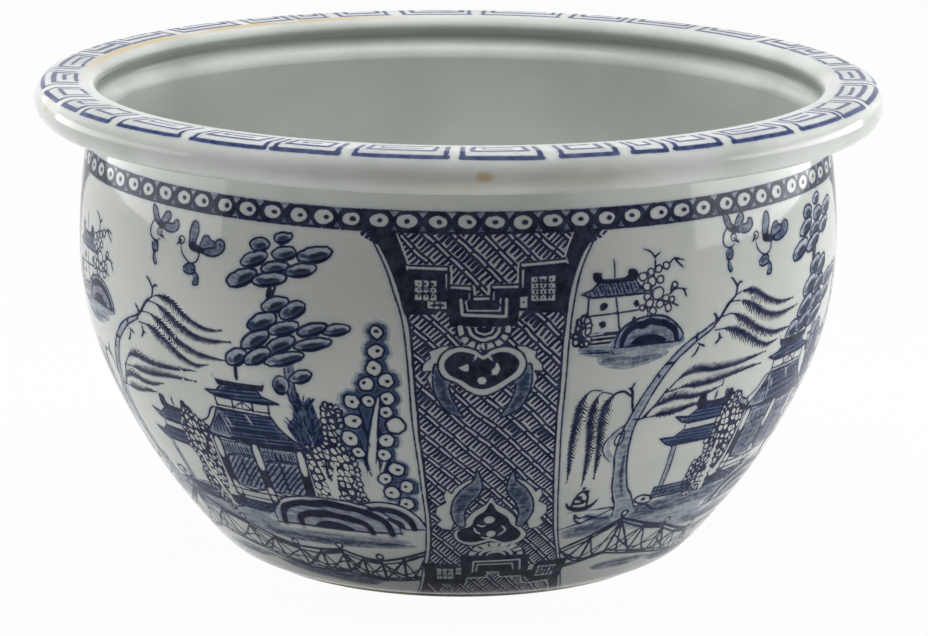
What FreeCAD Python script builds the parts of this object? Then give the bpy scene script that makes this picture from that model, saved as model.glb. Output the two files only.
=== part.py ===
import FreeCAD, Part
import os

import Sketcher

# Blue and white fish bowl jardiniere: a deep round porcelain bowl with a rolled rim,
# standing on a low turned foot ring. The thrown sections of clay meet at level luted
# joints, and three skins of glaze cover the outside, the inside and the rim.
# Millimetres. +Z up, with the origin on the ground under the centre of the bowl.

# Driving sizes: name, value and what it measures.
SIZES = [
    ("foot_radius", 116.0, "outer radius of the foot ring"),
    ("foot_width", 14.0, "breadth of the foot ring"),
    ("foot_height", 7.0, "height of the foot ring and depth of the recess in it"),
    ("foot_reveal", 2.0, "bare clay that shows under the edge of the glaze"),
    ("foot_chamfer", 1.0, "worn bevel on both lower edges of the foot ring"),
    ("heel_flare", 12.3, "outward growth of the heel above the foot"),
    ("heel_curve", 25.7, "radius of the heel"),
    ("base_thickness", 10.0, "thickness of the base disc"),
    ("base_flare", 9.7, "outward growth over the edge of the base disc"),
    ("base_curve", 70.0, "radius of the base disc's edge"),
    ("lower_height", 90.0, "height of the lower wall"),
    ("lower_flare", 56.1, "outward growth over the lower wall"),
    ("lower_curve", 316.0, "radius of the lower wall's outer side"),
    ("inner_curve", 240.0, "radius of the lower wall's inner side"),
    ("belly_rise", 63.4, "height from the luted joint to the widest place"),
    ("belly_flare", 12.5, "outward growth from the luted joint to the widest place"),
    ("belly_curve", 167.0, "radius of the wall below the widest place"),
    ("neck_rise", 66.1, "height from the widest place to the neck"),
    ("neck_draw", 6.0, "inward draw from the widest place to the neck"),
    ("neck_curve", 367.5, "radius of the wall above the widest place"),
    ("wall_at_base", 22.0, "wall of the lower section where it stands on the base disc"),
    ("wall_at_joint", 8.0, "wall at the luted joint"),
    ("wall_at_neck", 5.5, "wall from the widest place to the neck"),
    ("glaze_thickness", 0.5, "thickness of the glaze"),
    ("rim_overhang", 29.4, "reach of the rim beyond the neck"),
    ("rim_roll_radius", 11.0, "radius of the rim's rolled outer edge"),
    ("rim_cove", 2.5, "hollow where the rim's underside meets the neck"),
    ("lip_flare", 2.0, "how much wider the lip's inner side is than the neck's"),
    ("lip_radius", 5.5, "rounding of the lip's inner edge"),
    ("lip_fall", 0.6, "fall of the rim's top towards the lip"),
    ("lip_undercut", 3.2, "depth of the hollow under the lip, from the lip's inner side"),
    ("lip_underside", 6.0, "height from the lip's side down to the deepest place of the hollow"),
    ("lip_under_curve", 3.7, "radius of both bends of the lip's underside"),
    ("hollow_curve", 8.0, "radius of both bends from the hollow to the neck's inner side"),
]

LINE = "line"
ARC = "arc"
FULL_TURN = 360


class Length:
    """A size with its present value and the expression that binds it to the sheet."""

    def __init__(self, value, text):
        self.value = value
        self.text = text

    def __add__(self, other):
        return Length(self.value + other.value, "(%s + %s)" % (self.text, other.text))

    def __sub__(self, other):
        return Length(self.value - other.value, "(%s - %s)" % (self.text, other.text))

    def half(self):
        return Length(self.value / 2, "(%s / 2)" % self.text)


class Spot:
    """A corner of an outline: its radius from the axis and its height."""

    def __init__(self, radius, height):
        self.radius = radius
        self.height = height

    def moved(self, radius, height):
        return Spot(self.radius + radius, self.height + height)

    def midway(self, other):
        return Spot((self.radius + other.radius).half(), (self.height + other.height).half())


ZERO = Length(0.0, "0")

doc = FreeCAD.newDocument("FishBowlJardiniere")
sheet = doc.addObject("Spreadsheet::Sheet", "Sizes")
size = {}
for row, (alias, value, meaning) in enumerate(SIZES, start=1):
    sheet.set("A%d" % row, alias)
    sheet.set("B%d" % row, str(value))
    sheet.set("C%d" % row, meaning)
    sheet.setAlias("B%d" % row, alias)
    size[alias] = Length(value, "Sizes.%s" % alias)
doc.recompute()


def origin_feature(body, role):
    """The body's own origin plane or axis with the given role."""
    for feature in body.Origin.OriginFeatures:
        if feature.Role == role:
            return feature
    raise ValueError("no origin feature with the role " + role)


def bow_centre(start, end, radius, side):
    """Centre of the arc of a radius from start to end; side is +1 or -1 of the chord."""
    chord = end - start
    reach = (radius * radius - chord.Length * chord.Length / 4) ** 0.5
    across = FreeCAD.Vector(-chord.y, chord.x, 0)
    across.normalize()
    middle = (start + end) / 2
    return middle + across * (reach * side)


def bind(sketch, constraint, length):
    """Add a dimension and tie it to the sheet."""
    index = sketch.addConstraint(constraint)
    sketch.setExpression("Constraints[%d]" % index, length.text)


def pin_corner(sketch, edge, point, spot):
    """Hold one end of an edge at an outline corner.

    In a sketch, geometry -1 is the level axis, with the origin as its point 1, and
    geometry -2 is the upright axis.
    """
    if spot.radius is ZERO:
        sketch.addConstraint(Sketcher.Constraint("PointOnObject", edge, point, -2))
    else:
        rule = Sketcher.Constraint("DistanceX", -1, 1, edge, point, spot.radius.value)
        bind(sketch, rule, spot.radius)
    if spot.height is ZERO:
        sketch.addConstraint(Sketcher.Constraint("PointOnObject", edge, point, -1))
    else:
        rule = Sketcher.Constraint("DistanceY", -1, 1, edge, point, spot.height.value)
        bind(sketch, rule, spot.height)


def turned_piece(name, outline):
    """A solid of revolution.

    The outline is a closed list of (corner, edge kind, radius, side): the edge leads from
    its corner to the next one, and radius and side describe it when it is an arc.
    """
    body = doc.addObject("PartDesign::Body", name)
    body.Label = name
    sketch = body.newObject("Sketcher::SketchObject", name + "_profile")
    sketch.AttachmentSupport = (origin_feature(body, "XZ_Plane"), [""])
    sketch.MapMode = "FlatFace"
    doc.recompute()
    count = len(outline)
    ends = []
    for index, (spot, kind, radius, side) in enumerate(outline):
        following = outline[(index + 1) % count][0]
        start = FreeCAD.Vector(spot.radius.value, spot.height.value, 0)
        end = FreeCAD.Vector(following.radius.value, following.height.value, 0)
        if kind == LINE:
            edge = sketch.addGeometry(Part.LineSegment(start, end), False)
            ends.append((edge, 1, 2))
            continue
        centre = bow_centre(start, end, radius.value, side)
        circle = Part.Circle(centre, FreeCAD.Vector(0, 0, 1), radius.value)
        first = circle.parameter(start)
        last = circle.parameter(end)
        if side > 0:
            edge = sketch.addGeometry(Part.ArcOfCircle(circle, first, last), False)
            ends.append((edge, 1, 2))
        else:
            edge = sketch.addGeometry(Part.ArcOfCircle(circle, last, first), False)
            ends.append((edge, 2, 1))
    for index in range(count):
        edge, start_point, end_point = ends[index]
        next_edge, next_start, next_end = ends[(index + 1) % count]
        rule = Sketcher.Constraint("Coincident", edge, end_point, next_edge, next_start)
        sketch.addConstraint(rule)
    for index, (spot, kind, radius, side) in enumerate(outline):
        edge, start_point, end_point = ends[index]
        pin_corner(sketch, edge, start_point, spot)
        if kind == ARC:
            bind(sketch, Sketcher.Constraint("Radius", edge, radius.value), radius)
    doc.recompute()
    turn = body.newObject("PartDesign::Revolution", name + "_turned")
    turn.Profile = sketch
    turn.ReferenceAxis = (sketch, ["V_Axis"])
    turn.Angle = FULL_TURN
    sketch.Visibility = False
    body.Placement = FreeCAD.Placement()
    doc.recompute()
    return body


def line(spot):
    """A straight edge from this corner to the next."""
    return (spot, LINE, None, 0)


def bow_left(spot, radius):
    """An arc to the next corner whose centre lies to the left of the way there."""
    return (spot, ARC, radius, 1)


def bow_right(spot, radius):
    """An arc to the next corner whose centre lies to the right of the way there."""
    return (spot, ARC, radius, -1)


glaze = size["glaze_thickness"]
no_glaze = ZERO - glaze

# Outer side of the glazed bowl, from the foot up to the neck.
foot_edge = Spot(size["foot_radius"], size["foot_reveal"])
heel = Spot(size["foot_radius"] + size["heel_flare"], size["foot_height"])
base_edge = heel.moved(size["base_flare"], size["base_thickness"])
joint = base_edge.moved(size["lower_flare"], size["lower_height"])
belly = joint.moved(size["belly_flare"], size["belly_rise"])
neck = Spot(belly.radius - size["neck_draw"], belly.height + size["neck_rise"])

# The clay under that glaze.
foot_clay = foot_edge.moved(ZERO, glaze)
heel_clay = heel.moved(no_glaze, ZERO)
base_clay = base_edge.moved(no_glaze, ZERO)
joint_clay = joint.moved(no_glaze, ZERO)
belly_clay = belly.moved(no_glaze, ZERO)
neck_clay = neck.moved(no_glaze, ZERO)

# Inner side of the clay, and the inner glaze on it.
floor_corner = Spot(base_edge.radius - size["wall_at_base"], base_edge.height)
joint_inside = Spot(joint.radius - size["wall_at_joint"], joint.height)
belly_inside = Spot(belly.radius - size["wall_at_neck"], belly.height)
neck_inside = Spot(neck.radius - size["wall_at_neck"], neck.height)
floor_glaze = floor_corner.moved(no_glaze, glaze)
joint_glaze = joint_inside.moved(no_glaze, ZERO)
belly_glaze = belly_inside.moved(no_glaze, ZERO)
neck_glaze = neck_inside.moved(no_glaze, ZERO)

# Foot ring: turned bare clay, with the heel of the bowl above its standing face.
foot_inner = size["foot_radius"] - size["foot_width"]
turned_piece("foot_ring", [
    line(Spot(foot_inner + size["foot_chamfer"], ZERO)),
    line(Spot(size["foot_radius"] - size["foot_chamfer"], ZERO)),
    line(Spot(size["foot_radius"], size["foot_chamfer"])),
    bow_left(foot_clay, size["heel_curve"] - glaze),
    line(heel_clay),
    line(Spot(foot_inner, size["foot_height"])),
    line(Spot(foot_inner, size["foot_chamfer"])),
])

# Base disc: the floor of the bowl, laid on the foot ring.
turned_piece("base_disc", [
    line(Spot(ZERO, heel.height)),
    bow_left(heel_clay, size["base_curve"]),
    line(base_clay),
    line(Spot(ZERO, base_edge.height)),
])

# Lower wall: the flaring section that stands on the base disc.
turned_piece("lower_wall", [
    line(floor_corner),
    bow_left(base_clay, size["lower_curve"]),
    line(joint_clay),
    bow_right(joint_inside, size["inner_curve"]),
])

# Upper wall: from the luted joint over the widest place to the neck.
turned_piece("upper_wall", [
    line(joint_inside),
    bow_left(joint_clay, size["belly_curve"]),
    bow_left(belly_clay, size["neck_curve"]),
    line(neck_clay),
    bow_right(neck_inside, size["neck_curve"]),
    bow_right(belly_inside, size["belly_curve"]),
])

# Rolled rim, from the neck out under the overhang, round the roll, over the top to the lip,
# and down through the hollow under the lip to the neck's inner side.
roll = size["rim_roll_radius"]
rim_radius = neck.radius + size["rim_overhang"]
lip_radius = size["lip_radius"]
rim_cove = neck.moved(size["rim_cove"], size["rim_cove"])
roll_low = Spot(rim_radius - roll, rim_cove.height)
roll_side = Spot(rim_radius, roll_low.height + roll)
roll_top = Spot(rim_radius - roll, roll_side.height + roll)
lip_side_radius = neck_glaze.radius + size["lip_flare"]
lip_top = Spot(lip_side_radius + lip_radius, roll_top.height - size["lip_fall"])
lip_side = Spot(lip_side_radius, lip_top.height - lip_radius)
hollow = lip_side.moved(size["lip_undercut"], ZERO - size["lip_underside"])
lip_under = lip_side.midway(hollow)
hollow_foot = hollow.midway(neck_glaze)
under_curve = size["lip_under_curve"]
hollow_curve = size["hollow_curve"]

cove_clay = rim_cove.moved(ZERO, glaze)
roll_low_clay = roll_low.moved(ZERO, glaze)
roll_side_clay = roll_side.moved(no_glaze, ZERO)
roll_top_clay = roll_top.moved(ZERO, no_glaze)
lip_top_clay = lip_top.moved(ZERO, no_glaze)
lip_side_clay = lip_side.moved(glaze, ZERO)
lip_under_clay = lip_under.moved(glaze, ZERO)
hollow_clay = hollow.moved(glaze, ZERO)
hollow_foot_clay = hollow_foot.moved(glaze, ZERO)

turned_piece("rolled_rim", [
    bow_right(neck_clay, size["rim_cove"] + glaze),
    line(cove_clay),
    bow_left(roll_low_clay, roll - glaze),
    bow_left(roll_side_clay, roll - glaze),
    line(roll_top_clay),
    bow_left(lip_top_clay, lip_radius - glaze),
    bow_left(lip_side_clay, under_curve),
    bow_right(lip_under_clay, under_curve),
    bow_right(hollow_clay, hollow_curve),
    bow_left(hollow_foot_clay, hollow_curve),
    line(neck_inside),
])

# Outer glaze: the painted skin from the foot to the neck.
turned_piece("outer_glaze", [
    bow_left(foot_edge, size["heel_curve"]),
    bow_left(heel, size["base_curve"]),
    bow_left(base_edge, size["lower_curve"]),
    bow_left(joint, size["belly_curve"]),
    bow_left(belly, size["neck_curve"]),
    line(neck),
    bow_right(neck_clay, size["neck_curve"]),
    bow_right(belly_clay, size["belly_curve"]),
    bow_right(joint_clay, size["lower_curve"]),
    bow_right(base_clay, size["base_curve"]),
    bow_right(heel_clay, size["heel_curve"] - glaze),
    line(foot_clay),
])

# Inner glaze: the skin over the floor and the inside of the walls.
turned_piece("inner_glaze", [
    line(Spot(ZERO, base_edge.height)),
    bow_left(floor_corner, size["inner_curve"]),
    bow_left(joint_inside, size["belly_curve"]),
    bow_left(belly_inside, size["neck_curve"]),
    line(neck_inside),
    bow_right(neck_glaze, size["neck_curve"]),
    bow_right(belly_glaze, size["belly_curve"]),
    bow_right(joint_glaze, size["inner_curve"]),
    line(floor_glaze),
    line(Spot(ZERO, floor_glaze.height)),
])

# Rim glaze: the skin round the whole rim.
turned_piece("rim_glaze", [
    bow_right(neck, size["rim_cove"]),
    line(rim_cove),
    bow_left(roll_low, roll),
    bow_left(roll_side, roll),
    line(roll_top),
    bow_left(lip_top, lip_radius),
    bow_left(lip_side, under_curve),
    bow_right(lip_under, under_curve),
    bow_right(hollow, hollow_curve),
    bow_left(hollow_foot, hollow_curve),
    line(neck_glaze),
    bow_right(neck_inside, hollow_curve),
    bow_left(hollow_foot_clay, hollow_curve),
    bow_left(hollow_clay, under_curve),
    bow_right(lip_under_clay, under_curve),
    bow_right(lip_side_clay, lip_radius - glaze),
    line(lip_top_clay),
    bow_right(roll_top_clay, roll - glaze),
    bow_right(roll_side_clay, roll - glaze),
    line(roll_low_clay),
    bow_left(cove_clay, size["rim_cove"] + glaze),
    line(neck_clay),
])

doc.recompute()

# Nothing is written unless every object and every solid is sound.
bodies = [thing for thing in doc.Objects if thing.TypeId == "PartDesign::Body"]
for thing in doc.Objects:
    if "Invalid" in thing.State or "Error" in thing.State:
        raise RuntimeError("object %s is in state %s" % (thing.Name, thing.State))
for body in bodies:
    shape = body.Shape
    if shape.isNull() or not shape.isValid() or len(shape.Solids) != 1:
        raise RuntimeError("sub-part %s has no sound solid" % body.Label)

os.makedirs("parts", exist_ok=True)
for body in bodies:
    body.Shape.exportStep("parts/%s.step" % body.Label)
    box = body.Shape.optimalBoundingBox(False, False)
    print("%-12s volume %10.1f mm3, height %7.2f to %7.2f, radius %7.2f"
          % (body.Label, body.Shape.Volume, box.ZMin, box.ZMax, box.XMax))
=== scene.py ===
"""Looks of a blue and white fish bowl jardiniere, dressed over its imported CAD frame.

One thrown bowl with a heavy rolled rim.  The clay comes from the CAD frame; this
script builds the three glaze skins and paints the outer two with cobalt.  All the
painting is drawn here with brush strokes in millimetres on a flat chart of the wall:
u runs round the bowl (the angle times a fixed radius), v runs up the wall.
"""
import logging
import math
import random
from dataclasses import dataclass, field, replace
from enum import Enum
from typing import Iterable, Sequence

import bpy
import numpy as np
from mathutils import Matrix, Vector
from mathutils.geometry import delaunay_2d_cdt


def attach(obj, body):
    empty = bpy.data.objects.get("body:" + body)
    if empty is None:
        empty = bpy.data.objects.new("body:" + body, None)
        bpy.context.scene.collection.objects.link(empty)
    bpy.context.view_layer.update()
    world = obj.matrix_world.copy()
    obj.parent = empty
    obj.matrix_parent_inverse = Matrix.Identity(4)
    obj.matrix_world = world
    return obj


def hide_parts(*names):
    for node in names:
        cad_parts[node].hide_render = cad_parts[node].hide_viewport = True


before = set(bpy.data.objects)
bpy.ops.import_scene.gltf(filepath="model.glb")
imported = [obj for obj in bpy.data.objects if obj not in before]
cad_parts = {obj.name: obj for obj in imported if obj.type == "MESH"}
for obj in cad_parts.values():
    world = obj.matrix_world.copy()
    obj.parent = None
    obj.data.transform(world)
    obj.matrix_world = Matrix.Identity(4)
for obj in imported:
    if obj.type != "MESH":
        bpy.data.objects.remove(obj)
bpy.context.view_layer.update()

LOG = logging.getLogger("fish_bowl")
Point = tuple[float, float]
Triple = tuple[float, float, float]
Hatch = tuple[float, float, float, float]
Width = float | Sequence[float]
Array = np.ndarray
Value = "Flow | float"

MM = 0.001
PHOTO_WIDE = 928             # pixels
WALL_RADIUS = 200.0          # mm: turns an angle into u on the wall
RIM_RADIUS = 215.0           # mm: turns an angle into u on the rim
REPEAT = math.tau * WALL_RADIUS / 4.0   # mm: one panel and one garden scene


# Shader maths

class Flow:
    """A shader value: its arithmetic adds Math nodes to the net it belongs to."""

    def __init__(self, net: "Net", socket: bpy.types.NodeSocket) -> None:
        """Wrap one output socket of a net."""
        self.net, self.socket = net, socket

    def math(self, operation: str, *others: Value, swap: bool = False) -> "Flow":
        """Add one Math node; swap puts this value second."""
        terms = (others[0], self) if swap else (self, *others)
        return self.net.node("ShaderNodeMath", {"operation": operation}, dict(enumerate(terms)))

    def __add__(self, other: Value) -> "Flow":
        """Sum."""
        return self.math("ADD", other)

    def __sub__(self, other: Value) -> "Flow":
        """Difference."""
        return self.math("SUBTRACT", other)

    def __rsub__(self, other: Value) -> "Flow":
        """Difference, reflected."""
        return self.math("SUBTRACT", other, swap=True)

    def __mul__(self, other: Value) -> "Flow":
        """Product."""
        return self.math("MULTIPLY", other)

    __radd__, __rmul__ = __add__, __mul__

    def __abs__(self) -> "Flow":
        """Absolute value."""
        return self.math("ABSOLUTE")

    def fraction(self) -> "Flow":
        """Part after the decimal point."""
        return self.math("FRACT")

    def whole(self) -> "Flow":
        """Next whole number below."""
        return self.math("FLOOR")

    def least(self, other: Value) -> "Flow":
        """Smaller of the two."""
        return self.math("MINIMUM", other)

    def most(self, other: Value) -> "Flow":
        """Larger of the two."""
        return self.math("MAXIMUM", other)

    def fade(self, start: float, end: float) -> "Flow":
        """Smooth step.

        Args:
            start: the value that gives 0.
            end: the value that gives 1, which may be below start.
        Returns:
            The step, between 0 and 1.
        """
        low, high = (start, end) if start < end else (end, start)
        span = (0.0, 1.0) if start < end else (1.0, 0.0)
        return self.net.node("ShaderNodeMapRange", {"interpolation_type": "SMOOTHSTEP"}, {0: self, 1: low,
            2: high, 3: span[0], 4: span[1]})


class Net:
    """The node net of one material or world, emptied and ready to be wired."""

    def __init__(self, tree: bpy.types.NodeTree) -> None:
        """Take over a node tree."""
        self.tree = tree
        tree.nodes.clear()

    def node(self, kind: str, settings: dict | None = None, inputs: dict | None = None,
            out: int | str = 0) -> Flow:
        """Add any node.

        Args:
            kind: Blender's node type.
            settings: node properties, set first.
            inputs: values or flows by socket name or number.
            out: the output that is wanted.
        Returns:
            That output.
        """
        made = self.tree.nodes.new(kind)
        for name, value in (settings or {}).items():
            setattr(made, name, value)
        for name, value in (inputs or {}).items():
            if isinstance(value, Flow):
                self.tree.links.new(value.socket, made.inputs[name])
            else:
                target = made.inputs[name]
                target.default_value = (*value, 1.0) if (isinstance(value, tuple) and len(value) == 3
                    and len(getattr(target, "default_value", ())) == 4) else value
        return Flow(self, made.outputs[out] if made.outputs else None)

    def mix(self, factor: Value, first: "Flow | tuple", second: "Flow | tuple") -> Flow:
        """Mix two colours by a factor."""
        return self.node("ShaderNodeMix", {"data_type": "RGBA"}, {0: factor, 6: first, 7: second}, 2)

    def number(self, name: str) -> Flow:
        """A plain number stored at the mesh's points."""
        return self.node("ShaderNodeAttribute", {"attribute_name": name}, {}, "Fac")

    def noise(self, grain: float, detail: float = 2.0, stretch: Point = (1.0, 1.0),
            rough: float = 0.5) -> Flow:
        """Cloudy noise from 0 to 1.

        Args:
            grain: the size of its patches in millimetres.
            detail: its octaves.
            stretch: how much longer the patches are level and upright.
            rough: how strong the finer octaves are.
        Returns:
            The noise.
        """
        place = self.node("ShaderNodeTexCoord", {}, {}, "Object")
        scaled = self.node("ShaderNodeVectorMath", {"operation": "MULTIPLY"}, {0: place, 1: (1 / stretch[0],
            1 / stretch[0], 1 / stretch[1])})
        return self.node("ShaderNodeTexNoise", {}, {"Vector": scaled, "Scale": 1000.0 / grain,
            "Detail": detail, "Roughness": rough})

    def spots(self, pitch: float, size: float) -> Flow:
        """Scattered round specks, about pitch apart and size in radius: 1 on a speck."""
        place = self.node("ShaderNodeTexCoord", {}, {}, "Object")
        gap = self.node("ShaderNodeTexVoronoi", {}, {"Vector": place, "Scale": 1000.0 / pitch})
        return (gap * pitch).fade(size, size * 0.4)

    def finish(self, shader: Flow, kind: str = "Material") -> None:
        """Wire a surface shader to the output of a material or a world."""
        self.node(f"ShaderNodeOutput{kind}", {}, {"Surface": shader})


def srgb(red: int, green: int, blue: int) -> Triple:
    """Turn a screen colour from 0 to 255 into the linear one that shaders take."""
    def channel(value: int) -> float:
        """One channel of it."""
        part = value / 255.0
        return part / 12.92 if part <= 0.04045 else ((part + 0.055) / 1.055) ** 2.4
    return channel(red), channel(green), channel(blue)


def heading(angle: float) -> Point:
    """Cosine and sine of an angle in degrees."""
    return math.cos(math.radians(angle)), math.sin(math.radians(angle))


def mirrored(points: Sequence[Point], middle: float) -> tuple[Sequence[Point], list[Point]]:
    """Points, and their mirror image in an upright line."""
    return points, [(2 * middle - x, y) for x, y in points]


# Finishes

@dataclass(frozen=True)
class GlazeFinish:
    """Clear, slightly grey-green porcelain glaze over white clay.

    With a design it also carries the cobalt painting that the mesh's numbers describe.
    """

    name: str
    body: Triple = srgb(208, 211, 206)
    shade: Triple = srgb(190, 195, 188)
    cobalt_deep: Triple = srgb(4, 12, 35)
    cobalt_line: Triple = srgb(14, 31, 76)
    cobalt_bleed: Triple = srgb(104, 124, 162)
    wash_deep: Triple = srgb(31, 53, 88)
    wash_pale: Triple = srgb(128, 148, 174)
    stain: Triple = srgb(208, 176, 112)
    # darker grey in the hollow under the lip: pooled glaze and painted shade
    pooled: Triple = srgb(142, 150, 142)
    # light line along the rim's lower edge: a painted highlight
    thin: Triple = srgb(240, 242, 236)
    rust: Triple = srgb(192, 154, 80)
    pins: Triple = srgb(70, 62, 50)
    painted: bool = True
    stains_and_painted_light: bool = False
    roughness: float = 0.09
    ripple: float = 0.05
    gloss: float = 0.045
    coat: float = 0.15

    def make(self) -> bpy.types.Material:
        """Build the material.

        Returns:
            The Blender material.
        """
        material = bpy.data.materials.new(self.name)
        material.use_nodes = True
        net = Net(material.node_tree)
        cloudy = net.noise(70.0, 3.0)
        colour = net.mix(cloudy.fade(0.35, 0.75) * 0.8, self.body, self.shade)
        streaky = net.noise(9.0, 3.0, (2.5, 0.5))
        colour = net.mix(streaky.fade(0.45, 0.9) * 0.25, colour, self.shade)
        pins = net.spots(21.0, 0.42) * net.noise(46.0, 1.0).fade(0.52, 0.62)
        colour = net.mix(pins * 0.75, colour, self.pins)
        matt: Value = 0.0
        # stains and rust, plus painted shade under the lip and a painted highlight line
        if self.stains_and_painted_light:
            colour = self._lay_stains_and_painted_light(net, colour)
        if self.painted:
            colour, matt = self._cobalt(net, colour)
        orange_peel = net.noise(5.5, 2.0)
        rings = net.noise(16.0, 2.0, (8.0, 0.35))
        height = orange_peel * 0.35 + rings * 0.65
        bump = net.node("ShaderNodeBump", {}, {"Strength": 0.16, "Distance": self.ripple * 0.01,
            "Height": height}, "Normal")
        wear = net.noise(28.0, 4.0).fade(0.55, 0.8)
        rough = self.roughness + wear * 0.05 + matt * 0.03
        shader = net.node("ShaderNodeBsdfPrincipled", {}, {"Base Color": colour, "Roughness": rough,
            "Normal": bump, "IOR": 1.5, "Specular IOR Level": self.gloss, "Coat Weight": (1.0 - matt * 0.85)
            * self.coat})
        net.finish(shader)
        return material

    def _lay_stains_and_painted_light(self, net: Net, colour: Flow) -> Flow:
        """Tint the lip: pooled glaze and painted shade, a painted highlight, tan stains and rust specks.

        Args:
            net: the material's net.
            colour: the glaze so far.
        Returns:
            The glaze with its stains, painted shade and painted highlight.
        """
        turn = ((net.number("turn") + math.pi) * (1 / math.tau)).fraction() * math.tau - math.pi
        rise = net.number("rise")
        # painted shade: the hollow under the lip darkened, partly as pooled glaze
        colour = net.mix(abs(rise - SHADED_POOL_RISE).fade(7.5, 1.5) * 0.8, colour, self.pooled)
        # painted highlight: a light line along the rim's lower edge
        colour = net.mix(abs(rise - HIGHLIGHT_LINE_RISE).fade(1.5, 0.2) * 0.6, colour, self.thin)
        patchy = net.noise(14.0, 4.0, (3.0, 1.0)).fade(0.28, 0.55)
        for place, reach, run, wide, dark in SMEARS:
            arc = abs(turn - place).fade(reach, reach * 0.4)
            band = abs(rise - run + (patchy - 0.5) * wide * 0.4).fade(wide, wide * 0.2)
            colour = net.mix(arc * band * patchy * dark, colour, self.stain)
        for place, run, size, dark in RUST_MARKS:
            side, up = (turn - place) * RIM_RADIUS, rise - run
            off = side * side * 0.4 + up * up + net.noise(3.0, 3.0) * size * 3.0
            colour = net.mix(off.fade(size * size + size, size * size * 0.2) * dark, colour, self.rust)
        return colour

    def _cobalt(self, net: Net, glaze: Flow) -> tuple[Flow, Flow]:
        """Lay the painting over the glaze.

        Args:
            net: the material's net.
            glaze: the bare glaze's colour.
        Returns:
            The painted colour and a mask of the painted parts.
        """
        shaky = (net.noise(3.6, 2.0) - 0.5) * 0.5 + (net.noise(1.1, 1.0) - 0.5) * 0.3
        line = net.number("line") + shaky
        wash = net.number("wash") + (net.noise(4.5, 3.0) - 0.5) * 1.3
        pooled = net.noise(6.0, 4.0, rough=0.62)
        brushed = net.noise(2.2, 3.0, (5.0, 0.7))
        blotchy = net.noise(2.6, 2.0)
        tone = (net.number("tone") * 0.85 + (blotchy - 0.5) * 0.7 + (brushed - 0.5) * 1.1
            + (wash * -1.0).fade(0.7, 2.1) * 0.32)
        tint = net.mix(tone.fade(0.0, 1.0), self.wash_pale, self.wash_deep)
        tint = net.mix(tone.fade(1.15, 2.0), tint, self.cobalt_deep)
        strength = wash.fade(0.5, -0.4) * (tone.most(0.0) * 0.62 + 0.34).least(0.97)
        edge = abs(wash + 0.2).fade(0.6, 0.0) * tone.fade(-0.1, 0.9) * 0.35
        colour = net.mix(strength, glaze, tint)
        colour = net.mix(edge, colour, self.wash_deep)
        lattice, ground = self._lattice(net)
        halo = (line.fade(1.9, -0.1) * (0.14 + pooled * 0.24)).most(ground * pooled * 0.6)
        colour = net.mix(halo, colour, self.cobalt_bleed)
        inside = line.fade(0.3, -0.28).most(lattice).most(self._hairs(net)).most(self._pebbles(net))
        depth = (line * -1.0).fade(0.0, 1.5) * 0.6 + pooled.fade(0.32, 0.68) * 0.5
        ink = net.mix(depth.least(1.0), self.cobalt_line, self.cobalt_deep)
        thin = 0.86 + pooled * 0.2
        colour = net.mix((inside * thin).least(0.985), colour, ink)
        return colour, inside.most(strength)

    def _dice(self, net: Net, seed: Flow) -> Flow:
        """A random number from 0 to 1 for each whole seed."""
        return net.node("ShaderNodeTexWhiteNoise", {"noise_dimensions": "1D"}, {"W": seed})

    def _lattice(self, net: Net) -> tuple[Flow, Flow]:
        """Diagonal basket weave of the panels, drawn between the mesh's marks.

        Each cell is a bare ribbon bent into an angle, with short slanting strokes
        inside the bend.

        Args:
            net: the material's net.
        Returns:
            A mask that is 1 on its dark lines, and one of the whole woven ground.
        """
        across, along = net.number("across"), net.number("along")
        sway, jog = net.noise(26.0, 1.0) - 0.5, net.noise(6.5, 1.0) - 0.5
        run = (across - along) * 0.7071 + sway * 4.0 + jog * 1.6
        rise = (across + along) * 0.7071 - sway * 3.0 + jog * 1.2
        rows = rise * (1.0 / WEAVE_ROW)
        row, up = rows.whole(), rows.fraction() * WEAVE_ROW
        cells = run * (1.0 / WEAVE_BAY) + self._dice(net, row)
        cell, side = cells.whole(), cells.fraction() * WEAVE_BAY
        chance = self._dice(net, row * 17.0 + cell)
        heavy = chance.fade(0.62, 0.95)
        ribbon, border, joint = ((gap - WEAVE_LINE).fade(0.18, -0.14) for gap
            in (abs(up - (WEAVE_ROW - 2.5)), up.least(WEAVE_ROW - up), side.least(WEAVE_BAY - side)))
        count = (WEAVE_BAY - 2.3 - side) * (1.0 / WEAVE_STROKE)
        nearest = (count + 0.5).whole()
        stroke = abs(count - nearest) * WEAVE_STROKE
        thick = up * 0.05 + 0.54 + heavy * 0.4
        foot = self._dice(net, nearest * 5.0 + row * 31.0 + cell * 3.0) * 1.6
        strokes = ((stroke - thick).fade(0.18, -0.14) * (up - foot).fade(0.0, 0.8) * up.fade(WEAVE_ROW - 2.1,
            WEAVE_ROW - 2.5) * (count - chance).fade(2.9, 2.8) * count.fade(-0.5, -0.45))
        corner = (side - up * 0.35).fade(WEAVE_BAY - 5.2, WEAVE_BAY - 4.2) * (side.fade(WEAVE_BAY - 1.9,
            WEAVE_BAY - 2.3) * up.fade(4.4, 5.4) * up.fade(WEAVE_ROW - 2.1, WEAVE_ROW - 2.5) * heavy)
        dark = ribbon.most(border).most(joint).most(strokes).most(corner)
        ground = net.number("lattice").fade(0.3, -0.3)
        return dark * ground, ground

    def _hairs(self, net: Net) -> Flow:
        """Fine slanting hairs of the willow fronds: dense at the spine, open at the tips."""
        hair = net.number("hair")
        comb = net.number("comb") + (net.noise(3.4, 2.0) - 0.5) * 3.4
        wave = abs((comb * (1.0 / HAIR_PITCH)).fraction() - 0.5) * 2.0
        ragged = (net.noise(2.0, 0.0) - 0.5) * 0.8
        return (1.36 - hair * 1.42 - wave + ragged).fade(-0.12, 0.14) * hair.fade(1.0, 0.94)

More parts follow.
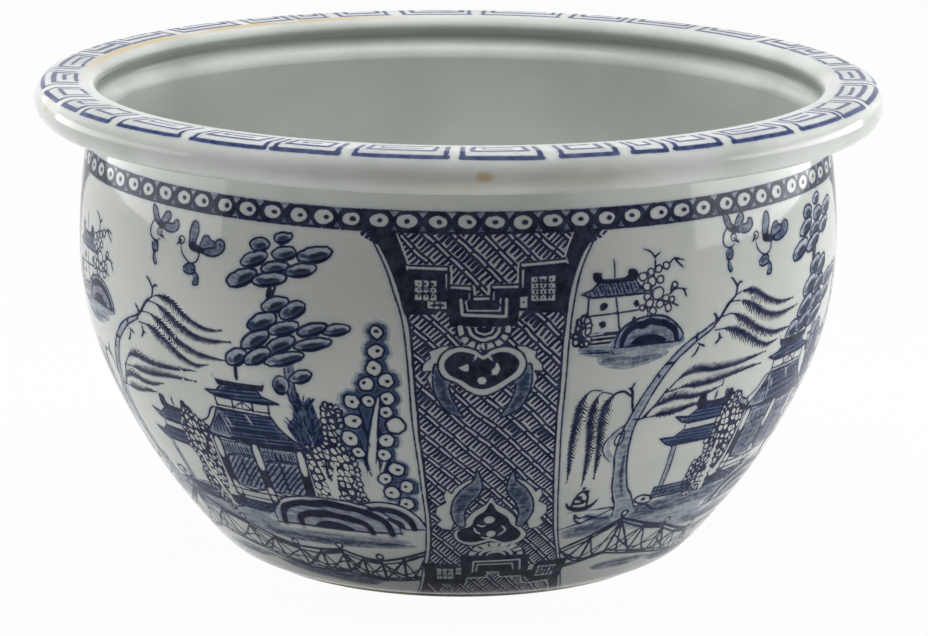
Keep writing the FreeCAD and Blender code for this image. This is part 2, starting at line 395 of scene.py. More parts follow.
    def _pebbles(self, net: Net) -> Flow:
        """Dark ground between small bare pebble-like leaves, with a dot on some."""
        place = net.node("ShaderNodeCombineXYZ", {}, {0: net.number("across") + net.number("along") * 0.25,
            1: net.number("along") * 0.8})
        scale = {"Vector": place, "Scale": 1.0 / PEBBLE_PITCH, "Randomness": 0.72}
        edge, spot = (net.node("ShaderNodeTexVoronoi", {"voronoi_dimensions": "2D", "feature": kind},
            scale) * PEBBLE_PITCH for kind in ("DISTANCE_TO_EDGE", "F1"))
        thick = 0.36 + net.noise(12.0, 2.0).fade(0.35, 0.7) * 0.42
        round_off = 2.15 - thick
        dark = (edge - thick).fade(0.16, -0.12).most((spot - round_off).fade(-0.16, 0.12))
        dot = spot.fade(0.5, 0.25) * net.noise(5.0, 0.0).fade(0.52, 0.56)
        return dark.most(dot) * net.number("pebble").fade(0.3, -0.3)


@dataclass(frozen=True)
class BiscuitFinish:
    """Unglazed fired clay of the foot: chalky, slightly buff and gritty."""

    name: str = "foot_biscuit"
    body: Triple = srgb(228, 222, 208)
    burnt: Triple = srgb(202, 182, 150)
    specks: Triple = srgb(96, 74, 54)

    def make(self) -> bpy.types.Material:
        """Build the material.

        Returns:
            The Blender material.
        """
        material = bpy.data.materials.new(self.name)
        material.use_nodes = True
        net = Net(material.node_tree)
        patches, grit = net.noise(24.0, 4.0), net.noise(1.2, 3.0)
        colour = net.mix(patches.fade(0.4, 0.8) * 0.7, self.body, self.burnt)
        colour = net.mix(net.spots(7.0, 0.5) * 0.6, colour, self.specks)
        colour = net.mix(grit.fade(0.45, 0.8) * 0.25, colour, self.burnt)
        bump = net.node("ShaderNodeBump", {}, {"Strength": 0.5, "Distance": 0.0003, "Height": grit}, "Normal")
        net.finish(net.node("ShaderNodeBsdfPrincipled", {}, {"Base Color": colour, "Roughness": 0.78
            + grit * 0.15, "Normal": bump}))
        return material


SHADED_POOL_RISE = 84.5             # mm along the rim: the hollow under the lip, where glaze pools and painted shade darkens it
HIGHLIGHT_LINE_RISE = 24.0       # mm along the rim: its lower edge, where a painted highlight line lies
# Tan smears: middle and reach in radians, millimetres along the rim, half width, strength
SMEARS = ((-2.3, 0.85, 71.5, 4.6, 0.8), (0.14, 0.36, 34.0, 8.0, 0.16), (-1.25, 0.03, 44.0, 6.0, 0.3))
# Rust specks: radians from the front, millimetres along the rim, size, strength
RUST_MARKS = ((0.055, 37.2, 4.2, 0.6), (-2.2, 66.0, 1.2, 0.8), (0.9, 60.0, 0.8, 0.7))
WEAVE_ROW = 9.6              # mm between two ribbons of the weave
WEAVE_BAY = 10.2             # mm between two bends of a ribbon
WEAVE_STROKE = 2.55          # mm between the short strokes in a bend
WEAVE_LINE = 0.7             # mm: half the width of the weave's dark lines
HAIR_PITCH = 2.1             # mm between the hairs of a willow frond
PEBBLE_PITCH = 3.9           # mm between the leaves of a pebbled shrub


# Outlines

@dataclass(frozen=True)
class Bend:
    """One run of an outline: to a point, straight or round an arc."""

    end: Point
    radius: float = 0.0
    hollow: bool = False


class Outline:
    """A turned outline in millimetres: radius and height against length."""

    def __init__(self, start: Point, bends: Sequence[Bend], step: float = 0.2) -> None:
        """Lay out the runs one after another.

        Args:
            start: first point, as radius and height.
            bends: the runs that follow.
            step: sampling distance.
        """
        places, normals = [], []
        here = np.array(start, float)
        for bend in bends:
            there = np.array(bend.end, float)
            chord = there - here
            length = float(np.hypot(*chord))
            side = np.array([chord[1], -chord[0]]) / length
            count = max(2, int(length / step))
            share = np.linspace(0.0, 1.0, count)[:, None]
            if bend.radius:
                turn = -1.0 if bend.hollow else 1.0
                drop = math.sqrt(bend.radius ** 2 - length ** 2 / 4)
                swing = (share - 0.5) * 2 * math.asin(min(1.0, length / 2 / bend.radius))
                normal = side * np.cos(swing) + turn * chord / length * np.sin(swing)
                places.append((here + there) / 2 - turn * side * drop + turn * normal * bend.radius)
                normals.append(normal)
            else:
                places.append(here + chord * share)
                normals.append(np.repeat(side[None], count, 0))
            here = there
        self.place, self.normal = np.vstack(places), np.vstack(normals)
        gaps = np.hypot(*np.diff(self.place, axis=0).T)
        self.length = np.concatenate([[0.0], np.cumsum(gaps)])

    @property
    def total(self) -> float:
        """Whole length in millimetres."""
        return float(self.length[-1])

    def at(self, run: Array) -> tuple[Array, Array, Array, Array]:
        """Radius, height and the outward direction's two parts at lengths along the outline."""
        return tuple(np.interp(run, self.length, values) for values in (*self.place.T, *self.normal.T))


WALL_OUTLINE = Outline((116.0, 2.0), (Bend((128.3, 7.0), 25.7), Bend((138.0, 17.0), 70.0),
    Bend((194.1, 107.0), 316.0), Bend((206.6, 170.4), 167.0), Bend((200.6, 236.5), 367.5)))
RIM_OUTLINE = Outline((200.6, 236.5), (Bend((203.1, 239.0), 2.5, True), Bend((219.0, 239.0)),
    Bend((230.0, 250.0), 11.0), Bend((219.0, 261.0), 11.0), Bend((202.1, 260.4)), Bend((196.6, 254.9), 5.5),
    Bend((198.2, 251.9), 3.7), Bend((199.8, 248.9), 3.7, True), Bend((197.2, 242.7), 8.0, True),
    Bend((194.6, 236.5), 8.0)))
BOWL_OUTLINE = Outline((194.6, 236.5), (Bend((200.6, 170.4), 367.5, True), Bend((185.6, 107.0), 167.0, True),
    Bend((115.5, 17.5), 240.0, True), Bend((104.0, 17.5)), Bend((0.01, 17.5))))


# Brush and chart

class Layer(Enum):
    """What a mark leaves on the glaze."""

    LINE = "dark cobalt line or fill"
    BARE = "glaze wiped clean of all that lies under it"
    WASH = "thin cobalt wash"
    LATTICE = "ground of diagonal basket weave"
    PEBBLE = "dark ground between pebble-like leaves"
    HAIR = "fine hairs along a spine, longer on one side"


LINE, BARE, WASH, LATTICE, PEBBLE, HAIR = Layer

REACH = 2.0                  # mm: how far from a mark its numbers still matter
OPEN_GLAZE = 2.0             # mm: the number that means no paint near
SOFT_EDGE = 1.8              # mm over which one wash runs into another
SHAPE_GUIDE = 0.7            # mm between a shape's edge and its guide points
STROKE_GUIDE = 0.65          # mm between a stroke's edge and its guide points
MARGIN = 0.5                 # mm inside a sheet's edge that stay free of guide points
SNAP = 0.42                  # mm: guide points nearer than this count as one
CLEARING = 1.3               # mm round a guide point that stay free of plain points
BIN = 5.0                    # mm: side of the bins that points are sorted into
BARE_TWIG = 0.1              # share of a willow frond's spine without hairs


def curve(points: Sequence[Point], step: float, closed: bool = False, sharp: bool = False) -> Array:
    """Draw a smooth or straight-sided line through given points.

    Args:
        points: the points, in millimetres.
        step: distance between the points that come back.
        closed: join the ends.
        sharp: keep straight runs between the points.
    Returns:
        The line's points; the third column counts along the given points.
    """
    p = np.asarray(points, float)
    if closed:
        q = np.vstack([p[-1], p, p[0], p[1]])
    else:
        q = np.vstack([2 * p[0] - p[1], p, 2 * p[-1] - p[-2]])
    out = []
    for k, (a, b, c, d) in enumerate(zip(q[:-3], q[1:-2], q[2:-1], q[3:])):
        n = max(1, int(math.ceil(math.dist(b, c) / step)))
        t = (np.arange(n) / n)[:, None]
        if sharp:
            run = b + (c - b) * t
        else:
            run = 0.5 * (2 * b + (c - a) * t + (2 * a - 5 * b + 4 * c - d) * t ** 2 + (3 * b - a - 3 * c + d)
                * t ** 3)
        out.append(np.hstack([run, t + k]))
    if not closed:
        out.append(np.array([[p[-1][0], p[-1][1], len(p) - 1.0]]))
    return np.vstack(out)


def reach_of(path: Array, half: Array, at: Array) -> Array:
    """Distance from points to the edge of a stroke.

    Args:
        path: the stroke's middle line.
        half: half its width at each point of the line.
        at: the points asked about.
    Returns:
        Distances, negative inside the stroke.
    """
    a, d = path[:-1], np.diff(path, axis=0)
    rel = at[:, None] - a
    t = np.clip((rel * d).sum(-1) / np.maximum((d * d).sum(-1), 1e-9), 0.0, 1.0)
    gap = rel - t[..., None] * d
    return (np.sqrt((gap * gap).sum(-1)) - (half[:-1] + np.diff(half) * t)).min(1)


def normals_of(path: Array) -> Array:
    """Directions square to a line, to its left."""
    tangent = np.gradient(path, axis=0)
    tangent /= np.maximum(np.hypot(*tangent.T), 1e-9)[:, None]
    return np.stack([-tangent[:, 1], tangent[:, 0]], 1)


@dataclass
class Mark:
    """One touch of the brush: a stroke with a width, or a filled shape."""

    layer: Layer
    path: Array
    half: Array | None = None
    tone: float = 0.6
    fine: float = 1.5
    side: float = 0.0
    keen: bool = False

    def gap(self, at: Array) -> Array:
        """Distance from points to the mark's edge, negative inside."""
        if self.half is not None:
            return reach_of(self.path, self.half, at)
        ring = np.vstack([self.path, self.path[:1]])
        far = reach_of(ring, np.zeros(len(ring)), at)
        a, b = ring[:-1], ring[1:]
        x, y = at[:, :1], at[:, 1:]
        crosses = (a[:, 1] > y) != (b[:, 1] > y)
        rise = np.where(b[:, 1] == a[:, 1], 1e-9, b[:, 1] - a[:, 1])
        inside = (crosses & (x < (b[:, 0] - a[:, 0]) * (y - a[:, 1]) / rise + a[:, 0])).sum(1) % 2 == 1
        return np.where(inside, -far, far)

    def guides(self) -> Array:
        """Points that the mesh needs so that this mark's edge comes out true."""
        if len(self.path) < 2:
            return self.path
        path = self.path
        if self.half is None:
            path = np.vstack([path, path[:1]])
        side = normals_of(path)
        if self.layer is HAIR:
            out = side * (self.half * self.side)[:, None]
            return np.vstack([path, path + out * 0.5, path + out, path + out * 1.3, path - out * 0.35])
        if self.half is None:
            return np.vstack([path, path + side * SHAPE_GUIDE, path - side * SHAPE_GUIDE])
        out = side * (self.half + STROKE_GUIDE)[:, None]
        rows = [path, path + out, path - out]
        if self.half.max() > 1.6:
            rim = side * np.maximum(self.half - 0.6, 0.0)[:, None]
            rows += [path + rim, path - rim]
        return np.vstack(rows)

    def box(self) -> tuple[Array, Array]:
        """Lowest and highest corner, with the reach round it."""
        extra = REACH + (0.0 if self.half is None else float(self.half.max()))
        return self.path.min(0) - extra, self.path.max(0) + extra

    def moved(self, by: float) -> "Mark":
        """The same mark further round the bowl."""
        return replace(self, path=self.path + (by, 0.0))

    def comb(self, at: Array) -> tuple[Array, Array]:
        """Place points among the hairs that grow from this mark's line.

        Args:
            at: the points asked about.
        Returns:
            How far out they lie, from 0 on the line to 1 at the tips, and the number
            that stays the same along one hair.
        """
        a, d = self.path[:-1], np.diff(self.path, axis=0)
        rel = at[:, None] - a
        t = np.clip((rel * d).sum(-1) / (d * d).sum(-1), 0.0, 1.0)
        off = np.hypot(*np.moveaxis(rel - t[..., None] * d, -1, 0))
        k, row = off.argmin(1), np.arange(len(at))
        off, t, rel = off[row, k], t[row, k], rel[row, k]
        left = (d[k, 0] * rel[:, 1] - d[k, 1] * rel[:, 0]) * self.side > 0
        reach = (self.half[k] + np.diff(self.half)[k] * t) * np.where(left, 1.0, 0.45)
        return np.minimum(off / np.maximum(reach, 0.05), 2.0), (k + t) * self.fine - off * 1.25


class Brush:
    """A painter's hand: draws marks in millimetres from a movable origin."""

    def __init__(self, seed: int) -> None:
        """Start with an empty sheet.

        Args:
            seed: fixes the hand's small wanderings.
        """
        self.marks: list[Mark] = []
        self.dice = random.Random(seed)
        self.origin: Point = (0.0, 0.0)
        self.shake = 0.12

    def to(self, across: float, along: float = 0.0) -> "Brush":
        """Move the origin."""
        self.origin = (across, along)
        return self

    def _place(self, points: Iterable[Point]) -> list[Point]:
        """Shift points to the origin, with a slight shake."""
        u, v = self.origin
        return [(x + u + self.dice.gauss(0, self.shake), y + v + self.dice.gauss(0, self.shake)) for x,
            y in points]

    def stroke(self, points: Sequence[Point], width: Width = 0.9, layer: Layer = LINE, tone: float = 0.6,
            sharp: bool = False, fine: float = 1.5, taper: float = 0.35) -> None:
        """Draw a stroke.

        Args:
            points: its middle line.
            width: full width, or one width for each point.
            layer: what it leaves.
            tone: how strong a wash is.
            sharp: straight runs between the points.
            fine: sampling distance.
            taper: share of the width left at the two ends.
        """
        line = curve(self._place(points), fine, sharp=sharp)
        if isinstance(width, (int, float)):
            last = len(points) - 1
            share = line[:, 2] / last
            half = width / 2 * (taper + (1 - taper) * np.minimum(1.0, 6 * np.minimum(share, 1 - share)))
        else:
            half = np.interp(line[:, 2], np.arange(len(points)), width) / 2
        self.marks.append(Mark(layer, line[:, :2], half, tone, fine, keen=sharp or layer is BARE))

    def shape(self, points: Sequence[Point], layer: Layer = LINE, tone: float = 0.6, sharp: bool = False,
            fine: float = 1.5) -> None:
        """Fill a closed shape, smooth or with straight sides."""
        self.marks.append(Mark(layer, curve(self._place(points), fine, True, sharp)[:, :2], None, tone, fine,
            keen=sharp and layer is not WASH))

    def ring(self, points: Sequence[Point], width: float = 0.9, sharp: bool = False) -> None:
        """Draw a closed outline of even width."""
        line = curve(self._place(points), 1.5, True, sharp)[:, :2]
        line = np.vstack([line, line[:1]])
        self.marks.append(Mark(LINE, line, np.full(len(line), width / 2)))

    def patch(self, points: Sequence[Point], tone: float, rim: float, hatches: Sequence[Hatch] = (),
            bare: bool = False, sharp: bool = True) -> None:
        """Wash a shape, hatch it and draw its edge.

        Args:
            points: its outline.
            tone: how strong the wash is.
            rim: width of the edge line.
            hatches: direction, pitch, width and raggedness of each hatching.
            bare: wipe the glaze first.
            sharp: straight sides.
        """
        if bare:
            self.shape(points, BARE, sharp=sharp)
        self.shape(points, WASH, tone, sharp=sharp)
        for angle, pitch, width, ragged in hatches:
            self.hatch(list(points), angle, pitch, width, ragged=ragged)
        self.ring(points, rim, sharp=sharp)

    def rule(self, points: Sequence[Point], width: float, layer: Layer = LINE) -> None:
        """Draw straight runs of even width."""
        self.stroke(points, width, layer, sharp=True, taper=1.0)

    def strokes(self, runs: Iterable[tuple[Sequence[Point], Width]], layer: Layer = LINE, fine: float = 1.5,
            taper: float = 0.35) -> None:
        """Draw strokes, each with its own width."""
        for points, width in runs:
            self.stroke(points, width, layer, fine=fine, taper=taper)

    def oval(self, centre: Point, wide: float, high: float, tilt: float = 0.0, layer: Layer = LINE,
            tone: float = 0.6, wobble: float = 0.0) -> None:
        """Fill an oval, given by half its width and height, and tilted by degrees."""
        self.shape(self.round_points(centre, wide, high, tilt, wobble), layer, tone, fine=1.2)

    def round_points(self, centre: Point, wide: float, high: float, tilt: float = 0.0,
            wobble: float = 0.0) -> list[Point]:
        """Points round an oval."""
        n = max(8, int(math.tau * max(wide, high) / 2.2))
        c, s = heading(tilt)
        out = []
        for k in range(n):
            a = math.tau * k / n
            r = 1.0 + self.dice.uniform(-wobble, wobble)
            x, y = wide * r * math.cos(a), high * r * math.sin(a)
            out.append((centre[0] + x * c - y * s, centre[1] + x * s + y * c))
        return out

    def dab(self, centre: Point, size: float = 1.0) -> None:
        """Touch a small round dot."""
        x, y = self._place([centre])[0]
        self.marks.append(Mark(LINE, np.array([(x - 0.2, y), (x + 0.2, y)]), np.full(2, size)))

    def disc(self, centre: Point, size: float, dot: float = 0.9, rim: float = 1.0,
            wobble: float = 0.06) -> None:
        """Paint a bare disc with a dark outline and a dot, as for blossom."""
        edge = self.round_points(centre, size, size * self.dice.uniform(0.88, 1.08),
            self.dice.uniform(0, 90), wobble)
        self.shape(edge, BARE, fine=1.2)
        self.ring(edge, rim)
        if dot:
            self.dab((centre[0] + self.dice.uniform(-0.7, 0.7), centre[1] + self.dice.uniform(-0.5, 0.5)),
                dot)

    def hatch(self, region: Sequence[Point], angle: float, pitch: float, width: float = 0.7,
            layer: Layer = LINE, tone: float = 0.6, ragged: float = 0.0) -> None:
        """Fill a straight-sided region with parallel strokes.

        Args:
            region: its corners.
            angle: direction of the strokes in degrees.
            pitch: distance between strokes.
            width: width of a stroke.
            layer: what they leave.
            tone: how strong a wash is.
            ragged: how unevenly they end, in millimetres.
        """
        c, s = heading(angle)
        corners = [(x * c + y * s, -x * s + y * c) for x, y in region]
        low, high = min(y for _, y in corners), max(y for _, y in corners)
        y = low + pitch * 0.6
        while y < high:
            cuts = []
            for (xa, ya), (xb, yb) in zip(corners, corners[1:] + corners[:1]):
                if (ya > y) != (yb > y):
                    cuts.append(xa + (xb - xa) * (y - ya) / (yb - ya))
            cuts.sort()
            for start, end in zip(cuts[::2], cuts[1::2]):
                if end - start > 1.2:
                    start += self.dice.uniform(0, ragged)
                    end -= self.dice.uniform(0, ragged)
                    bow = self.dice.uniform(-0.25, 0.25)
                    mid = (start + end) / 2
                    run = [(start, y), (mid, y + bow), (end, y)]
                    self.stroke([(a * c - b * s, a * s + b * c) for a, b in run], width, layer, tone,
                        taper=0.6, fine=2.0)
            y += pitch * self.dice.uniform(0.85, 1.15)

    def pebbles(self, region: Sequence[Point], size: float = 2.0) -> None:
        """Fill a region with pebble-like leaves, rounded off by bare ones along its edge."""
        self.shape(region, BARE)
        self.shape(region, PEBBLE)
        edge = curve(region, size * 1.9, True)[:, :2]
        for x, y in edge:
            spot = (x + self.dice.uniform(-0.6, 0.6), y + self.dice.uniform(-0.5, 0.5))
            ring = self.round_points(spot, size * self.dice.uniform(0.7, 1.0),
                size * self.dice.uniform(0.8, 1.15), self.dice.uniform(-30, 30), 0.06)
            self.shape(ring, BARE, fine=1.2)
            self.ring(ring, self.dice.uniform(0.9, 1.7))

    def frond(self, spine: Sequence[Point], hair: float, side: float) -> None:
        """Paint a willow frond: a dark spine with fine hairs, longer on one side.

        Args:
            spine: its middle line from the twig to the tip.
            hair: how far the hairs stand off.
            side: 1 for hairs on the left of the spine, -1 for the right.
        """
        line = curve(self._place(spine), 1.5)[:, :2]
        share = np.linspace(0, 1, len(line))
        full = np.clip((share - BARE_TWIG) / 0.16, 0, 1) * np.clip((1 - share) / 0.6, 0, 1) ** 0.6
        last = int(len(line) * 0.9)
        self.marks.append(Mark(LINE, line[:last], (0.32 + 0.3 * full)[:last]))
        self.marks.append(Mark(HAIR, line, 0.05 + hair * full, side=side))


def inside_of(region: Sequence[Point], spot: Point) -> bool:
    """Tell whether a spot lies in a region."""
    hit = False
    for (xa, ya), (xb, yb) in zip(region, list(region[1:]) + [region[0]]):
        if (ya > spot[1]) != (yb > spot[1]) and spot[0] < (xb - xa) * (spot[1] - ya) / (yb - ya) + xa:
            hit = not hit
    return hit


class Chart:
    """A sheet of mesh points over part of a turned skin, with the painting's numbers."""

    def __init__(self, marks: Sequence[Mark], low: Point, high: Point, grid: float) -> None:
        """Lay the points and work out the painting at each.

        Args:
            marks: the marks in the order they were painted.
            low: lowest u and v of the sheet.
            high: highest u and v.
            grid: distance between plain points.
        """
        self.low, self.high = np.array(low), np.array(high)
        self.marks = [m for m in marks if (m.box()[0] < self.high).all() and (m.box()[1] > self.low).all()]
        self.at, self.faces = self._mesh(grid)
        self._bins()
        self.numbers = self._paint()

    def _mesh(self, grid: float) -> tuple[Array, Array]:
        """Join the plain grid and the marks' guide points into triangles."""
        nu, nv = (max(2, int(round(x / grid)) + 1) for x in self.high - self.low)
        us, vs = (np.linspace(a, b, n) for a, b, n in zip(self.low, self.high, (nu, nv)))
        uu, vv = np.meshgrid(us, vs)
        inner = np.ones_like(uu, bool)
        inner[0] = inner[-1] = inner[:, 0] = inner[:, -1] = False
        edge = np.stack([uu[~inner], vv[~inner]], 1)
        plain = np.stack([uu[inner], vv[inner]], 1)
        plain += np.random.default_rng(5).uniform(-0.2, 0.2, plain.shape) * grid
        guides = [m.guides() for m in self.marks]
        guides = np.vstack(guides) if guides else np.zeros((0, 2))
        kept, runs = self._threads(), []
        keep = ((guides > self.low + MARGIN) & (guides < self.high - MARGIN)).all(1)
        guides = guides[keep]
        snapped = np.unique(np.round(guides / SNAP).astype(int), axis=0, return_index=True)[1]
        guides = guides[snapped]
        taken = set(map(tuple, np.round(guides / CLEARING).astype(int)))
        free = [tuple(k) not in taken for k in np.round(plain / CLEARING).astype(int)]
        points = np.vstack([edge, plain[np.array(free, bool)], guides, *kept])
        first = len(points) - sum(map(len, kept))
        for thread in kept:
            runs += [(first + k, first + k + 1) for k in range(len(thread) - 1)]
            first += len(thread)
        made = delaunay_2d_cdt([Vector(p) for p in points.tolist()], runs, [], 0, 1e-4)
        return np.array([v[:] for v in made[0]]), np.array(made[2])

    def _threads(self) -> list[Array]:
        """Lines that the mesh's edges must follow: keen strokes and sides."""
        found = []
        for mark in self.marks:
            if mark.keen and ((mark.path > self.low + MARGIN) & (mark.path < self.high - MARGIN)).all():
                closing = [mark.path[:1]] if mark.half is None else []
                found.append(np.vstack([mark.path] + closing))
        return found

    def _bins(self) -> None:
        """Sort the points into square bins, so that a mark finds its own quickly."""
        ij = ((self.at - self.low) / BIN).astype(int)
        self.columns, self.rows = (int(x) + 1 for x in ij.max(0))
        key = ij[:, 1] * self.columns + ij[:, 0]
        self.order = np.argsort(key, kind="stable")
        self.starts = np.searchsorted(key[self.order], np.arange(self.columns * self.rows + 1))

    def _near(self, low: Array, high: Array) -> Array:
        """Numbers of the points inside a box."""
        i0, j0 = (int(max(0, x)) for x in (low - self.low) // BIN)
        i1, j1 = (int(x) for x in (high - self.low) // BIN)
        i1, j1 = min(i1, self.columns - 1), min(j1, self.rows - 1)
        if i1 < i0 or j1 < j0:
            return np.zeros(0, int)
        who = np.concatenate([self.order[self.starts[j * self.columns + i0]:
            self.starts[j * self.columns + i1 + 1]] for j in range(j0, j1 + 1)])
        spot = self.at[who]
        return who[((spot >= low) & (spot <= high)).all(1)]

    def _paint(self) -> dict[str, Array]:
        """Lay the marks one over another.

        Returns:
            The numbers at each point, by name.
        """
        count = len(self.at)
        line, wash, lattice, pebble, hair = (np.full(count, OPEN_GLAZE) for _ in range(5))
        tone, comb = np.full(count, 0.4), np.zeros(count)
        for mark in self.marks:
            who = self._near(*mark.box())
            if not len(who):
                continue
            if mark.layer is HAIR:
                out, run = mark.comb(self.at[who])
                closer = out < hair[who]
                hair[who[closer]], comb[who[closer]] = out[closer], run[closer]
                continue
            gap = np.clip(mark.gap(self.at[who]), -OPEN_GLAZE, OPEN_GLAZE)
            if mark.layer is LINE:
                line[who] = np.minimum(line[who], gap)
            elif mark.layer is WASH:
                fresh = (wash[who] > 0.3) & (gap < np.minimum(wash[who], 0.9))
                share = np.where(fresh, 1.0, np.clip((0.6 - gap) / SOFT_EDGE, 0.0, 1.0))
                tone[who] += (mark.tone - tone[who]) * share
                wash[who] = np.minimum(wash[who], gap)
            elif mark.layer is LATTICE:
                lattice[who] = np.minimum(lattice[who], gap)
            elif mark.layer is PEBBLE:
                pebble[who] = np.minimum(pebble[who], gap)
            else:
                for numbers in (line, wash, lattice, pebble):
                    numbers[who] = np.maximum(numbers[who], -gap)
                hair[who[gap < 0]] = OPEN_GLAZE
        return {"line": line, "wash": wash, "tone": tone, "lattice": lattice, "pebble": pebble, "hair": hair,
            "comb": comb, "across": self.at[:, 0], "along": self.at[:, 1]}


class Skin:
    """Turns a chart into a piece of glaze: a turned surface with smooth normals."""

    def __init__(self, outline: Outline, radius: float) -> None:
        """Choose a turned outline, and the radius that u is divided by for the angle."""
        self.outline, self.radius = outline, radius

    def build(self, name: str, chart: Chart) -> bpy.types.Object:
        """Make the object.

        Args:
            name: its name.
            chart: the flat sheet.
        Returns:
            The Blender object, linked into the scene.
        """
        turn = chart.at[:, 0] / self.radius
        r, z, out, up = self.outline.at(chart.at[:, 1])
        s, c = np.sin(turn), -np.cos(turn)
        mesh = bpy.data.meshes.new(name)
        faces = chart.faces
        a, b, d = (chart.at[faces[:, k]] for k in range(3))
        area = np.cross(b - a, d - a)
        faces = faces[np.abs(area) > 1e-6]
        area = area[np.abs(area) > 1e-6]
        faces = np.where(area[:, None] < 0, faces[:, ::-1], faces)
        mesh.vertices.add(len(turn))
        mesh.vertices.foreach_set("co", (np.stack([r * s, r * c, z], 1) * MM).ravel())
        mesh.loops.add(faces.size)
        mesh.loops.foreach_set("vertex_index", faces.ravel())
        mesh.polygons.add(len(faces))
        mesh.polygons.foreach_set("loop_start", np.arange(0, faces.size, 3))
        mesh.update(calc_edges=True)
        mesh.validate()
        for key, values in (chart.numbers | {"turn": turn, "rise": chart.at[:, 1]}).items():
            mesh.attributes.new(key, "FLOAT", "POINT").data.foreach_set("value", values.astype(np.float32))
        flat = (chart.at - chart.low) / (chart.high - chart.low) * 0.996 + 0.002
        order = np.empty(len(mesh.loops), int)
        mesh.loops.foreach_get("vertex_index", order)
        mesh.uv_layers.new(name="OFBake").data.foreach_set("uv", flat[order].ravel())
        mesh.shade_smooth()
        mesh.normals_split_custom_set_from_vertices(np.stack([out * s, out * c, up], 1))
        piece = bpy.data.objects.new(name, mesh)
        bpy.context.scene.collection.objects.link(piece)
        LOG.info("%s: %d points, %d faces", name, len(turn), len(faces))
        return piece


# The painting

class Motif:
    """One thing painted on the wall."""

    def paint(self, brush: Brush) -> None:
        """Paint it at the brush's origin."""
        raise NotImplementedError


@dataclass
class BeadBorder(Motif):
    """Dark band under the neck with a row of bare beads."""

    low: float = 244.4
    high: float = 255.8
    beads: int = 22
    middle: float = 250.4

    def paint(self, brush: Brush) -> None:
        """Paint one repeat of the band."""
        pitch, dice = REPEAT / self.beads, brush.dice.uniform
        brush.shake = 0.08
        brush.shape([(-1.5, self.low), (REPEAT + 1.5, self.low), (REPEAT + 1.5, self.high),
            (-1.5, self.high)], sharp=True, fine=2.5)
        for k in range(self.beads):
            x = (k + 1) * pitch
            for bit, tone in ((((x - 2.3, 255), (x, 252.4), (x + 2.1, 255)), 0.6), (((x - 1.5, 245.8),
                    (x, 248.2), (x + 1.6, 245.8)), 1.0)):
                if k < self.beads - 1 and dice(0, 1) < 0.9:
                    brush.shape(bit, BARE, sharp=True, fine=1.0)
                    brush.shape(bit, WASH, tone, sharp=True, fine=1.0)
            x, y = (k + 0.5) * pitch + dice(-0.9, 0.9), self.middle + dice(-0.3, 0.3)
            bead = brush.round_points((x, y), dice(4.3, 5.2), dice(3.0, 3.5), dice(-5, 9), 0.03)
            brush.shape(bead, BARE, fine=0.9)
            dot = brush.round_points((x + dice(-0.3, 1.7), y), dice(1.3, 1.8), dice(1.1, 1.5))
            brush.shape(dot, fine=0.8)


